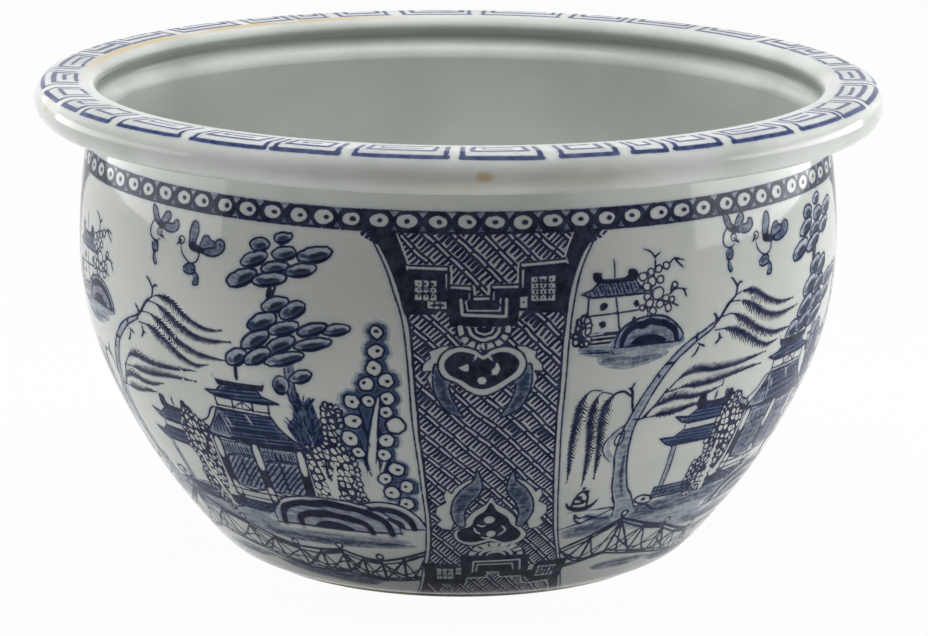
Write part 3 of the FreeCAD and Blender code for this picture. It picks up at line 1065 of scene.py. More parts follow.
@dataclass
class Panel(Motif):
    """Upright panel between two gardens: woven ground, stepped frets and cloud heads."""

    left: tuple[Point, ...] = ((-45, 245.5), (-40, 236), (-35, 226), (-31, 214), (-28, 205), (-26, 195),
        (-24.5, 180), (-23.8, 165), (-23, 150), (-22, 135), (-20.8, 120), (-19.5, 100), (-18.5, 80),
        (-19, 65), (-20.5, 50), (-24, 35), (-28, 20), (-33, 8), (-37, -1))
    right: tuple[Point, ...] = ((72, 245.5), (66, 236), (61, 225), (58, 213), (56.2, 200), (55, 185),
        (54.5, 165), (54.5, 150), (55, 135), (56.5, 120), (58.5, 105), (61, 90), (65, 72), (69.5, 58),
        (75, 45), (82, 28), (90, 12), (97, -1))
    strip: float = 3.0

    def paint(self, brush: Brush) -> None:
        """Paint the whole panel."""
        ground = list(self.left) + list(self.right[::-1])
        brush.shape(ground, BARE, fine=3.0)
        inner_left = [(x + self.strip, y) for x, y in self.left]
        inner_right = [(x - self.strip, y) for x, y in self.right]
        brush.shape(inner_left + inner_right[::-1], LATTICE, fine=2.5)
        self._sides(brush, inner_left, inner_right)
        self._upper_fret(brush)
        self._fan(brush, (13.0, 199.5), -1.0, 197.4)
        self._cloud_head(brush)
        self._horns(brush)
        self._fan(brush, (27.5, 45.0), 1.0, 49.0)
        self._lower_fret(brush)

    def _sides(self, brush: Brush, left: list[Point], right: list[Point]) -> None:
        """Paint the double edge lines, and the broad dark bands at top and bottom."""
        brush.strokes(((self.left, 1.0), (self.right, 1.0), (left, 1.5), (right, 1.3)), taper=1.0)
        for band in ([(-44, 246), (-38, 236), (-33, 226), (-28.8, 214), (-25.8, 203.5), (-22.5, 203.5),
                (-23.8, 226), (-27, 235), (-31.5, 246)], [(71, 246), (64, 236), (58.4, 226), (55.2, 213),
                (53.4, 203.5), (51, 204), (51.5, 228), (54.0, 236), (58.5, 246)], [(-22, 24), (-25.5, 17),
                (-30, 8), (-34, 0), (-18, 0), (-14, 12), (-10, 23)], [(74, 42), (78, 28), (86, 12), (93, 0),
                (85, 0), (79, 12), (74, 24)]):
            brush.shape(band)
        brush.strokes((([(-30.4, 244.5), (-26.2, 235), (-23.6, 227)], 0.9), ([(57.4, 244.5), (53.6, 236),
            (51.8, 229)], 0.9), ([(-22.6, 24), (-16, 12), (-14, 0)], 1.2), ([(73, 23), (80, 10), (84.5, 0)],
            1.0)), BARE, fine=1.2)

    def _windows(self, brush: Brush, *places: tuple[Point, Point, int, int]) -> None:
        """Leave small barred windows in a fret, with a dot in each pane.

        Args:
            brush: the hand.
            places: low and high corner of each window, and its panes across and up.
        """
        for (x0, y0), (x1, y1), across, up in places:
            brush.shape([(x0, y0), (x1, y0), (x1, y1), (x0, y1)], BARE, sharp=True, fine=1.2)
            for k in range(1, across):
                x = x0 + (x1 - x0) * k / across
                brush.stroke([(x, y0 - 0.3), (x, y1 + 0.3)], 0.9, taper=0.9)
            for k in range(1, up):
                y = y0 + (y1 - y0) * k / up
                brush.stroke([(x0 - 0.3, y), (x1 + 0.3, y)], 0.9, taper=0.9)
            for i in range(across):
                for j in range(up):
                    brush.dab((x0 + (x1 - x0) * (i + 0.5) / across, y0 + (y1 - y0) * (j + 0.5) / up),
                        brush.dice.uniform(0.3, 0.55))

    def _upper_fret(self, brush: Brush) -> None:
        """Paint the stepped dark fret near the top."""
        steps = [(-23.8, 226.6), (-4.4, 226.4), (-4.1, 217.2), (6.9, 216.6), (6.9, 211.6), (16.3, 211.6),
            (16.3, 217.2), (30.2, 217.4), (30.6, 228.2), (53.2, 229.4)]
        brush.shape([(-26, 225.6), (-5.4, 225.4), (-5.2, 216.2), (6, 215.6), (6.3, 210.8), (17, 210.8),
            (17.3, 216.3), (30.9, 216.4), (31.3, 227.2), (54, 228.2), (54.5, 204), (33.5, 204.2),
            (29.6, 200.5), (29, 197.3), (-3.6, 197.4), (-4.2, 205.6), (-9.5, 205.6), (-12.5, 203.4),
            (-26, 203.4)], sharp=True)
        for up, width, layer in ((0.5, 3.4, BARE), (-0.9, 1.6, LINE), (1.8, 1.1, LINE)):
            brush.rule([(x, y + up) for x, y in steps], width, layer)
        self._windows(brush, ((-20.6, 211.2), (-10.2, 221.0), 3, 3), ((-14.5, 206.8), (-5.3, 210.3), 3, 1),
            ((35.8, 210.4), (47.6, 222.6), 3, 4), ((30.4, 207.2), (33.8, 212.6), 1, 1))
        brush.shape([(29.8, 205.6), (32.4, 205.6), (29.9, 201.6)], BARE, sharp=True)
        brush.rule([(1.5, 211.6), (2.2, 203.9), (23.6, 202.9), (23.9, 211.8)], 1.5, BARE)
        brush.rule([(4.0, 210.2), (4.8, 206.0), (20.2, 206.0), (20.9, 211.6)], 0.8, BARE)
        brush.shape([(6.6, 206.9), (6.9, 210.6), (10, 211.0), (20, 210.4), (19.6, 206.9)])

    def _fan(self, brush: Brush, centre: Point, way: float, flat: float) -> None:
        """Paint nested half rings with a broken outer ring.

        Args:
            centre: middle of the rings.
            way: 1 for rings that rise, -1 for rings that hang.
            flat: the level that cuts the rings.
        """
        cx, cy = centre
        wide = 14.5 if way < 0 else 21.0

        def ring(radius: float, high: float) -> list[Point]:
            """Points of one half ring."""
            return [(cx + radius * c, flat + way * high * max(0.0, s)) for c,
                s in map(heading, range(4, 181, 16))]
        squash = 0.82 if way < 0 else 0.5
        reach = wide * squash
        brush.shape(ring(wide, reach) + [(cx - wide, flat), (cx + wide, flat)], LINE)
        brush.stroke(ring(wide * 0.80, reach * 0.84), wide * 0.22, BARE, taper=0.8)
        for c, s in map(heading, range(20, 171, 22)):
            brush.stroke([(cx + wide * 0.68 * c, flat + way * reach * 0.7 * s), (cx + wide * 0.98 * c, flat
                + way * reach * 1.02 * s)], 1.2)
        brush.stroke(ring(wide * 0.52, reach * 0.54), wide * 0.11, BARE, taper=0.8)
        brush.stroke(ring(wide * 0.3, reach * 0.3), wide * 0.07, BARE, taper=0.8)

    def _leaves(self, brush: Brush, leaf: Sequence[Point], middle: float) -> None:
        """Leave a bare scrolled leaf on each side, with a dark edge."""
        for points in mirrored(leaf, middle):
            brush.shape(points, BARE, sharp=True)
            brush.ring(points, 0.9, sharp=True)

    def _cloud_head(self, brush: Brush) -> None:
        """Paint the upper cloud head with its two crescents."""
        self._leaves(brush, [(-3, 188), (-8, 187.4), (-14, 184.5), (-13.2, 181.3), (-16.5, 178),
            (-17.5, 173.5), (-13.2, 173.8), (-15, 170), (-13.2, 165.5), (-11.5, 161.5), (-10.2, 166),
            (-9.6, 174), (-8.4, 181)], 12.6)
        crescent = [(-10.6, 178), (-12, 168), (-10, 159), (-5, 152), (3, 148), (0, 154.4), (-2.6, 160),
            (-3.8, 165.5), (-3.4, 171)]
        for points in mirrored(crescent, 12.6):
            brush.patch(points, 0.85, 1.0, bare=True, sharp=False)
        rim = [(12.6, 183.2), (8.6, 186), (0.5, 187.4), (-6.6, 184.2), (-9.6, 177.6), (-7, 171),
            (-0.5, 167.4), (5.4, 163), (12.6, 160.6), (19.8, 163), (26.2, 167.6), (31.8, 171.6), (34, 178),
            (31.2, 184.4), (24.4, 187.4), (16.8, 186)]
        brush.shape(rim, BARE)
        brush.ring(rim, 1.1)
        brush.shape([(12.6, 180.6), (8.2, 183.4), (1, 184.6), (-4.8, 181.6), (-6.4, 176.8), (-3.4, 172),
            (2.4, 169), (7.4, 165.6), (12.6, 164.2), (18, 165.8), (23.4, 169.4), (28.8, 173.4),
            (30.6, 178.4), (27.6, 182.8), (22.6, 184.9), (16.8, 183.4)])
        brush.shape([(0.8, 176.4), (2.4, 174.6), (5.4, 174.6), (5.2, 178.4), (3.2, 177.2)], BARE)
        brush.stroke([(18.4, 173.8), (19.8, 176), (19.4, 178.6)], (3.6, 2.8, 0.8), BARE)
        brush.oval((12.2, 169.2), 2.2, 2.1, 0, BARE)
        brush.strokes((([(8.2, 180.4), (9.2, 183), (8.4, 185)], 1.1), ([(17, 180.2), (15.4, 182.4),
            (16.4, 184.6)], 1.1)), BARE, fine=1.0)
        brush.strokes((([(11.4, 187.6), (12.2, 184.2)], 0.9), ([(14.4, 187.8), (13.4, 184.2)], 0.9)))

    def _horns(self, brush: Brush) -> None:
        """Paint the lower cloud head between two horns."""
        self._leaves(brush, [(9.4, 109), (4, 106), (-1, 101.6), (-2.6, 98.4), (-5.6, 101), (-7.4, 96.6),
            (-6, 91.6), (-11.4, 88.2), (-12.4, 82.6), (-9.2, 78.4), (-12.2, 74.6), (-8.4, 71), (-3, 70.4),
            (-1, 76), (-3.6, 84), (-2.2, 93), (2.4, 100.6), (8.6, 105.6)], 21.6)
        horn = [(11.4, 114.5), (9.6, 107.4), (3, 101.2), (-1.8, 93), (-3, 84.4), (-0.6, 76.4), (5.4, 71.4),
            (5.6, 77), (5.4, 83.6), (8.6, 91), (13.2, 97.4), (14.6, 104.4)]
        for points in mirrored(horn, 21.6):
            brush.patch(points, 0.72, 1.2, bare=True, sharp=False)
        rim = [(20.4, 96), (17.6, 90.6), (10.4, 84.8), (6, 78.6), (5.4, 73.6), (-0.4, 70.6), (-1.8, 65),
            (2.6, 60.2), (10.8, 57.6), (17.4, 59.6), (22.4, 61), (28, 59.4), (36, 57.4), (43.4, 61),
            (45.6, 66.4), (41.4, 72), (37.6, 74), (36.6, 79.6), (31.6, 85.8), (24, 90.8)]
        brush.shape(rim, BARE)
        brush.ring(rim, 1.1)
        brush.shape([(20.4, 91.4), (17, 85.4), (11.8, 80.8), (10.4, 76), (8.2, 73.2), (3, 71.4), (0.8, 66.6),
            (4, 61.8), (11.2, 60.6), (18.4, 62.4), (23.4, 63.2), (31.6, 60.2), (39.4, 62), (42, 66.6),
            (38, 71.4), (34.4, 74.8), (31.2, 80.4), (24.6, 85.6)])
        brush.oval((20.4, 78.4), 3.4, 2.7, 0, BARE)
        brush.oval((22.4, 67.4), 3.1, 2.5, 0, BARE)
        for hook in ([(11.4, 72.6), (12.4, 69.6), (15.6, 67.6)], [(28.4, 74), (31.2, 70.2), (27.2, 66.4)],
                [(16.4, 64.8), (19.4, 63.8), (22, 64.6)], [(13, 74.6), (16.6, 73.4), (18.4, 74.4)]):
            brush.stroke(hook, 1.2, BARE, fine=1.0)

    def _lower_fret(self, brush: Brush) -> None:
        """Paint the stepped dark fret near the foot."""
        brush.shape([(-23, 41.6), (-2, 41.6), (0.6, 39), (3, 39.6), (3.4, 49), (51.6, 49), (52, 40),
            (57, 37.6), (59, 41.6), (82, 42), (81.6, 24.4), (60, 22.4), (56, 26.8), (51, 27.4), (49.6, 29.6),
            (33.6, 29.4), (32.4, 34.2), (22.6, 34.2), (22.2, 29.4), (8.4, 29), (7.8, 22.4), (-23, 22.4)],
            sharp=True)
        brush.rule([(7.4, 21), (8.6, 28), (23.2, 28.4), (23.8, 33.4), (31.6, 33.4), (33, 28.4), (49.6, 28.6),
            (51.6, 22), (58.6, 20.8), (72, 22)], 0.9, BARE)
        self._windows(brush, ((-13.8, 27.2), (-1.8, 37.0), 3, 3), ((0.2, 31.6), (4.2, 38.0), 1, 2),
            ((60.6, 27.6), (74.6, 37.0), 5, 3), ((53.6, 34.2), (57.2, 39.0), 1, 1))
        brush.rule([(12.4, 34.4), (12.6, 43.6), (45.4, 44.2), (47.2, 35.6)], 1.4, BARE)
        brush.rule([(15.2, 34.6), (15.6, 40.8), (40.4, 41.2), (42.2, 36)], 1.0, BARE)


@dataclass
class Bird(Motif):
    """Small swallow-like bird: ringed head, bare breast, curled tail and lobed wings."""

    flip: bool = False

    def paint(self, brush: Brush) -> None:
        """Paint it with its head near the origin."""
        brush.shake = 0.08
        if self.flip:
            wings = ([(-0.5, 3), (-4.4, 5.6), (-6.4, 10), (-6.2, 13), (-3.2, 11.4), (-1.4, 7.6), (0.6, 5)],
                [(0.4, 4.4), (2, 8), (4.4, 11), (7.4, 11.2), (8, 8.4), (5.6, 6), (3.6, 4.6)], [(1, 3.4),
                (5.6, 1.4), (11, 1.6), (14.4, 4.2), (14, 7.8), (11.4, 8.2), (10.4, 6), (7, 5.4), (3.4, 5)])
            core = [(-1.6, 3), (0.6, 1.6), (4, 2.6), (3, 5.4), (-1, 5.8)]
            breast = [(-0.6, 4.8), (-5, 5), (-7.6, 0.6), (-6.6, -3.4), (-3, -5), (0.6, -3.4)]
            tail = ([(-3.6, -5), (-1, -6.4), (-1.6, -10.4), (-4.8, -10.6), (-5.8, -7)], [(-4, -10),
                (-4.6, -15), (-2.6, -17.6), (-1.6, -15.8)])
            beak = [(1.8, -0.8), (4.2, -3.2), (0.8, -2.4)]
        else:
            wings = ([(6, -3.4), (5.4, 1.6), (6.2, 7), (8, 10.8), (10.8, 10), (11.4, 5.4), (9.8, 1),
                (9.4, -2.6)], [(12, -2.8), (13.6, 1), (15.4, 4), (18.4, 4.4), (19.6, 2.4), (22, 2.2),
                (21.4, -0.6), (17, -2.2)], [(13, -3.6), (18, -5.6), (24, -4.8), (28.2, -1.6), (28.4, 2.6),
                (25, 3.8), (22.8, 1.8), (23.4, -0.6), (19, -1.8)])
            core = [(4.8, -1.6), (6.8, -4.6), (13, -5.2), (16.4, -3.2), (11.6, -1.2), (8, 0)]
            breast = [(-0.8, -2.4), (1.2, -7.6), (6, -11), (11, -9.6), (13, -4.4), (14, -1.8)]
            tail = ([(1.6, -14), (5.4, -11.4), (9.6, -12.4), (9, -16), (5, -17), (2, -16)], [(8.6, -14),
                (12, -17.4), (11.8, -21.6), (8.6, -22), (8.8, -20)])
            beak = [(-2, -0.6), (-3.8, -3.2), (-1.2, -2.2)]
        for wing in wings:
            brush.patch(wing, 0.85, 1.2, sharp=False)
        brush.shape(core)
        brush.stroke(breast, 1.0)
        for points in tail:
            brush.shape(points, WASH, 0.9)
            brush.stroke(points, 1.1, taper=0.8)
        brush.disc((0, 0), 1.9, 0.6, 0.9)
        brush.shape(beak)


@dataclass
class LeafTree(Motif):
    """Tall tree of slanting oval leaves on a short trunk."""

    leaves: tuple[tuple[float, float, float, float, float], ...] = ((-89, 238, 5.2, 2.7, 12),
        (-102, 233, 5.6, 3.6, 8), (-71.5, 231, 9.4, 3.8, 13), (-88, 230, 6.8, 3.4, 14),
        (-105, 225.5, 8.4, 3.4, 22), (-78.6, 222.4, 8.6, 3.2, 14), (-93, 222.4, 7.8, 3.0, 14),
        (-112, 215, 9.6, 4.0, 22), (-96, 216, 10, 3.4, 14), (-92.6, 203.4, 8.0, 3.9, 20),
        (-83, 201.4, 7.8, 3.9, 30), (-60, 193.4, 7.6, 2.9, 16), (-100, 193.6, 9.2, 4.2, 24),
        (-88, 191.6, 9.0, 3.4, 20), (-72.5, 192.4, 8.4, 2.9, 18), (-104.5, 183.6, 9.6, 3.8, 27),
        (-90, 182.8, 9.4, 3.6, 24), (-72.5, 184.8, 10.4, 3.0, 15), (-116.8, 172.4, 7.4, 4.2, 30),
        (-104, 174.6, 9.2, 3.6, 27), (-88.6, 175.2, 11.8, 3.2, 20), (-80, 166.4, 6.6, 3.2, 24),
        (-91.6, 160.2, 4.6, 5.2, -20))

    def paint(self, brush: Brush) -> None:
        """Paint the trunk and then the leaves, upper ones first."""
        brush.strokes((([(-95.6, 211), (-96.2, 206)], 3.4), ([(-92.4, 212.4), (-94.6, 206)], 1.6)), taper=0.8)
        trunk = [(-86.6, 174), (-86.2, 166), (-86.6, 160), (-84.6, 152), (-81, 146)]
        brush.stroke(trunk, (3.4, 4.2, 6.4, 7, 8), WASH, 0.7)
        brush.strokes(([(x + side, y) for x, y in trunk], 1.0) for side in (-2.4, 2.6))
        for x, y, wide, high, tilt in self.leaves:
            tilt += brush.dice.uniform(-3, 3)
            c, s = heading(tilt)
            dice = brush.dice.uniform
            leaf = brush.round_points((x, y), wide, high, tilt, 0.03)
            brush.shape(leaf, BARE)
            brush.shape(leaf, WASH, dice(0.0, 0.4))
            for share, up, long, tall, tone in ((dice(-0.3, 0.3), -0.4, 0.75, 0.55, dice(0.7, 1.1)),
                    (dice(-0.1, 0.4), -0.5, 0.55, 0.62, 2.4), (dice(-0.8, -0.5), 0.1, 0.3, 0.5,
                    dice(0.3, 1.2))):
                brush.oval((x + wide * share * c - high * up * s, y + wide * share * s + high * up * c),
                    wide * long, high * tall, tilt, WASH, tone)
            brush.ring(leaf, dice(1.0, 1.5))
            brush.stroke([(x + wide * a * c + high * b * s, y + wide * a * s - high * b * c) for a, b
                in ((-0.7, 0.75), (0, 1.02), (0.75, 0.7))], 2.0, taper=0.3)
        brush.stroke([(-117.8, 167.4), (-118.6, 160)], 2.4, taper=0.8)


@dataclass
class BlossomTree(Motif):
    """Bush of round blossoms with a blue halo, and long blades at its heart."""

    discs: tuple[Triple, ...] = ((-39.6, 193.5, 3.4), (-40, 183.5, 4.4), (-41, 174.4, 4.4),
        (-45.5, 165.6, 4.2), (-35, 168, 4.1), (-35, 158, 4.0), (-45, 155.8, 3.6), (-53.6, 154.8, 4.3),
        (-36, 150, 3.6), (-54, 143.2, 4.6), (-56.5, 132.2, 4.8), (-37, 132.5, 4.6), (-53, 123.5, 3.8),
        (-39, 123.2, 4.0), (-33, 113.6, 4.5), (-40, 107, 4.4), (-28, 102, 4.6), (-37, 97.4, 4.6),
        (-29, 89.5, 4.8))

    def paint(self, brush: Brush) -> None:
        """Paint the halo, the blades and the blossoms."""
        for x, y, size in self.discs:
            brush.oval((x + 0.3, y), size + 3.6, size + 3.2, 0, WASH, 0.2, wobble=0.05)
        for x, y, size in self.discs:
            brush.oval((x + 0.5, y), size + 2.2, size + 2.0, 0, WASH, 1.2, wobble=0.06)
        brush.shape([(-50, 166), (-40, 174), (-34, 160), (-36, 140), (-33, 122), (-36, 100), (-46, 104),
            (-53, 124), (-54, 150)], WASH, 1.2)
        trunk = [(-46, 98), (-45.8, 112), (-44.8, 126), (-42.8, 140), (-39.4, 158)]
        brush.stroke(trunk, (6, 8.4, 7.2, 5.6, 3.6))
        brush.stroke(trunk, (10, 7, 5, 3.2, 1.2), BARE)
        for blade in ([(-50, 152), (-48.8, 142), (-46.2, 128)], [(-39.6, 140), (-41.2, 131), (-43.8, 117)],
                [(-51.4, 132), (-50, 121), (-47.6, 108)], [(-35, 124), (-38, 114), (-43, 104)]):
            brush.stroke(blade, (0.8, 2.6, 0.8))
        brush.stroke([(-36.6, 127), (-39.2, 118), (-43.4, 107)], (0.6, 1.6, 0.8), BARE)
        for x, y, size in self.discs:
            brush.disc((x, y), size, 0.95, 1.25, 0.07)
        brush.disc((-31.6, 142), 5.2, 0.0, 1.6)


@dataclass
class Thicket(Motif):
    """Fir-like dark streaks and the pebble-leaved shrubs round the pagoda."""

    def paint(self, brush: Brush) -> None:
        """Paint the fir first, then the shrubs."""
        fir = [(-84.6, 156), (-80, 152), (-76.6, 155), (-74.4, 148), (-72.4, 140), (-72.6, 130),
            (-74.4, 118), (-86, 118), (-91, 126), (-93, 131), (-90.6, 138), (-87.4, 141), (-86.4, 148)]
        brush.shape(fir, WASH, 1.3)
        brush.stroke([(-80, 118), (-79, 128), (-82, 140)], (3, 2, 1), WASH, 0.1)
        dice = brush.dice.uniform
        for _ in range(230):
            x, y = dice(-95, -70), dice(117, 157)
            if inside_of(fir, (x, y)):
                lean = (x + 81.5) / 8 + dice(-0.2, 0.2)
                brush.stroke([(x, y), (x + lean * 1.4, y + 2.2), (x + lean * 3, y + 3.8)], dice(0.6, 1.0),
                    taper=0.3)
        brush.pebbles([(-69.5, 149), (-65, 151), (-61.4, 148), (-61, 139), (-63, 128), (-58, 122),
            (-55, 112), (-56, 98), (-55, 88), (-80, 88), (-86, 92), (-85.6, 122), (-78, 122), (-71, 128),
            (-70, 138)], 2.1)
        for blade in ([(-73, 92), (-74, 102), (-78, 114)], [(-72, 92), (-70, 104), (-68, 115)]):
            brush.stroke(blade, (4.6, 2.6, 0.8), BARE)
        brush.stroke([(-73.6, 104), (-73, 114), (-74, 122)], (1.8, 1.4, 0.6))
        brush.pebbles([(-157, 128), (-150, 124), (-148, 108), (-150, 90), (-149, 76), (-153, 70.5),
            (-165, 72), (-171, 80), (-168, 96), (-172, 112), (-170, 126), (-163, 133)], 2.0)
        brush.stroke([(-165, 104), (-163, 92), (-160, 80), (-157.6, 70)], (1.4, 2.4, 2.4, 2.8), BARE)


@dataclass
class Pagoda(Motif):
    """Two-roofed tea house with turned-up eaves, posts and barred panels."""

    def paint(self, brush: Brush) -> None:
        """Paint it from the roofs down."""
        self._clear(brush)
        self._roofs(brush)
        self._rooms(brush)
        self._steps(brush)

    def _clear(self, brush: Brush) -> None:
        """Wipe the wall under the house."""
        brush.shape([(-136, 158), (-100, 158), (-97, 146), (-86, 121), (-84, 90), (-88, 78), (-156, 78),
            (-150, 92), (-149, 121), (-138, 140), (-139, 150)], BARE, sharp=True)

    def _roofs(self, brush: Brush) -> None:
        """Paint ridge, upper roof, window band and the broad lower roof."""
        brush.shape([(-134, 160.4), (-131.4, 158), (-104.4, 158.2), (-101.8, 160.2), (-103, 155.6),
            (-107, 154.4), (-129, 154.4), (-132.4, 155.4)])
        brush.patch([(-129.4, 155), (-106.8, 155), (-104.2, 151.4), (-94.6, 148.2), (-106, 147),
            (-135, 147.2), (-141.4, 149.8), (-133.4, 151.2)], 0.86, 1.2, [(4, 2.1, 1.15, 1.2)])
        brush.stroke([(-141.6, 150.2), (-134, 147.6), (-106, 147.2), (-94.4, 148.6)], 1.5)
        for x in (-135.6, -124.4, -111.6, -101.4):
            brush.stroke([(x, 147), (x, 141.6)], 1.2, taper=0.9)
        brush.stroke([(-135.6, 146.6), (-101.2, 146.8)], 0.8)
        brush.stroke([(-136, 141.9), (-101, 142.1)], 0.9, taper=1.0)
        brush.strokes((([(-123.6, 142.4), (-117.8, 145.8), (-112, 142.4)], 0.8), ([(-117.8, 146.4),
            (-117.8, 142.2)], 0.7)))
        brush.patch([(-136.6, 140), (-101, 140), (-98.4, 134), (-92.4, 127.6), (-83, 121.6), (-153.6, 121.6),
            (-146.4, 126), (-140.4, 133)], 0.86, 1.2, [(3, 2.1, 1.15, 1.2)])
        gable = [(-136, 138.6), (-131.6, 122.6), (-147, 122.8), (-141, 130)]
        brush.shape(gable, BARE)
        brush.shape(gable, WASH, 0.55)
        for k in range(5):
            brush.stroke([(-145 + k * 3, 123), (-141.4 + k * 1.8, 129.6), (-137 + k * 0.4, 136)], 0.9)
        brush.stroke([(-137, 139), (-134.4, 130), (-131.8, 122.6)], 1.1)
        brush.strokes((([(-117.6, 139), (-114, 133)], 1.0), ([(-131.6, 135), (-129.4, 130)], 1.0)), BARE)
        brush.stroke([(-156, 123.4), (-150, 121.2), (-118, 120.6), (-90, 120.9), (-82, 122.6)], 1.7,
            taper=0.6)
        brush.strokes((([(-153, 128), (-146, 132), (-141, 138.6), (-137, 140.4)], 1.1), ([(-101, 140.4),
            (-97, 133.4), (-90, 126.6), (-83.6, 122.6)], 1.1)))

    def _rooms(self, brush: Brush) -> None:
        """Paint valances, posts and the slanting bars of the panels."""
        brush.stroke([(-148, 118.6), (-86, 118.8)], 0.9, taper=1.0)
        for x0, x1 in ((-141.4, -120.2), (-115, -91.6)):
            brush.shape([(x0, 118), (x1, 118), (x1, 110), (x0, 109)], WASH, 0.45, sharp=True)
            brush.hatch([(x0, 118), (x1, 118), (x1, 110.4), (x0, 109.6)], 91, 1.9, 0.8, ragged=0.8)
            brush.stroke([(x0, 108.9), (x0 + 9, 110.6), (x1, 111.4)], 1.0)
            brush.patch([(x0, 108.6), (x1, 110.6), (x1, 88.4), (x0, 88)], 0.42, 0.8, [(47, 2.6, 1.25, 0.8)])
            mid = (x0 + x1) / 2
            brush.strokes((([(mid, 110), (mid, 88.6)], 1.3), ([(x0, 87.6), (mid, 86), (x1, 87.8)], 1.2)))
        for x, wide, split in ((-145.2, 4.2, 107.6), (-117.3, 4.4, 103.8), (-88.4, 4.0, 104.2)):
            brush.stroke([(x, 119), (x, 96), (x, 79.6)], wide + 2.4, taper=1.0)
            brush.stroke([(x, 118.4), (x, split + 6), (x, split)], wide, BARE, taper=0.7)
            if x < -90:
                brush.stroke([(x, 89.6), (x, 85), (x, 80.6)], wide - 0.2, BARE, taper=0.6)

    def _steps(self, brush: Brush) -> None:
        """Paint the step and the dark plinth."""
        brush.strokes((([(-150, y + 0.4), (-132, y), (-108, y + 0.3)], width) for y, width in ((84.6, 1.1),
            (80.3, 0.9), (77.6, 1.0))), taper=0.8)
        brush.patch([(-157, 77), (-119, 76.6), (-116, 70), (-155, 70.4)], 0.9, 0.9, [(24, 1.9, 0.9, 0.6),
            (-20, 3.2, 0.8, 0.6)])


@dataclass
class Rocks(Motif):
    """Two rocks painted as nested arches: dark, washed and bare."""

    def arch(self, brush: Brush, centre: Point, wide: float, high: float, width: float,
            lean: float = 0.0) -> None:
        """Paint one arch.

        Args:
            brush: the hand.
            centre: middle of its base.
            wide: half its span.
            high: its height.
            width: width of the stroke at the top.
            lean: how far the top leans sideways.
        """
        points, wave = [], brush.dice.uniform
        for c, s in map(heading, range(0, 181, 15)):
            points.append((centre[0] + wide * c + lean * s + wave(-0.4, 0.4), centre[1] + high * s ** 0.8
                + wave(-0.5, 0.5)))
        widths = [width * (0.75 + 0.25 * math.sin(math.pi * k / 12)) * wave(0.85, 1.15) for k in range(13)]
        if width > 2:
            brush.stroke([(x, y - 0.5) for x, y in points], [w + 2.2 for w in widths], WASH, 0.35)
        brush.stroke(points, widths)

    def paint(self, brush: Brush) -> None:
        """Paint the far rock, then the near one over it."""
        brush.shape([(-60, 70), (-58, 86), (-46, 90), (-33, 88), (-22, 80), (-18, 70)], BARE)
        brush.shape([(-57, 84), (-46, 88), (-34, 86), (-25, 79), (-20, 70)], WASH, 0.1)
        brush.stroke([(-58, 87), (-46, 89.6), (-33, 87.6), (-23, 80), (-18, 71)], 1.3, taper=0.8)
        brush.strokes((([(-55, 83), (-46, 84.4), (-36, 82.8), (-28.6, 77), (-26, 70.6)],
            (2, 4, 4.4, 4.6, 4)), ([(-46, 75.6), (-40, 76.2), (-34.6, 73.8), (-33, 70.4)], (2, 4, 4.2, 3.4)),
            ([(-36, 69.8), (-18, 70.2)], 1.3)))
        brush.shape([(-123, 64), (-120, 74), (-108, 84), (-92, 89), (-76, 89.6), (-60, 86), (-46, 79),
            (-36, 71), (-33.4, 65.6)], BARE)
        brush.shape([(-121, 65), (-115, 77.4), (-93, 87.4), (-76, 88), (-59, 84), (-42, 74), (-36, 66)],
            WASH, 0.2)
        for wide, high, width, lean in ((44.2, 23.8, 1.3, -1.5), (38.0, 19.2, 5.2, -1.5),
                (25.0, 11.2, 5.2, -3)):
            self.arch(brush, (-78.6, 65.4), wide, high, width, lean)
        brush.shape([(-92, 65.4), (-89.6, 69.4), (-82, 71.4), (-73, 70), (-66.6, 65.8)])
        brush.stroke([(-124, 63.8), (-100, 65.2), (-60, 65.6), (-34, 66.6)], 1.4, taper=0.7)


@dataclass
class Water(Motif):
    """Streaks of thin wash on the lake and the shore."""

    def paint(self, brush: Brush) -> None:
        """Paint the streaks."""
        for points, tone in (([(-232, 78), (-215, 76), (-180, 79), (-158, 71), (-170, 66), (-205, 66),
                (-228, 71)], 0.45), ([(-160, 69), (-125, 67), (-122, 60), (-100, 62), (-40, 62), (-30, 57),
                (-60, 53), (-110, 50.4), (-150, 52), (-165, 58)], 0.15), ([(-140, 58), (-110, 57),
                (-84, 57.6), (-38, 58.4), (-30, 54.2), (-96, 50.4), (-126, 51)], 0.6), ([(-152, 29),
                (-120, 27.4), (-84, 26.4), (-55, 25.2), (-57, 20.6), (-66, 16.2), (-76, 15.4), (-108, 18),
                (-138, 22)], 0.6), ([(-208, 30), (-190, 33.4), (-160, 31.6), (-150, 28), (-172, 25),
                (-200, 26)], 0.45)):
            brush.shape(points, WASH, tone, fine=2.0)
            brush.hatch(points, 0.6, 3.0, 1.3, WASH, tone + 0.4, ragged=12.0)


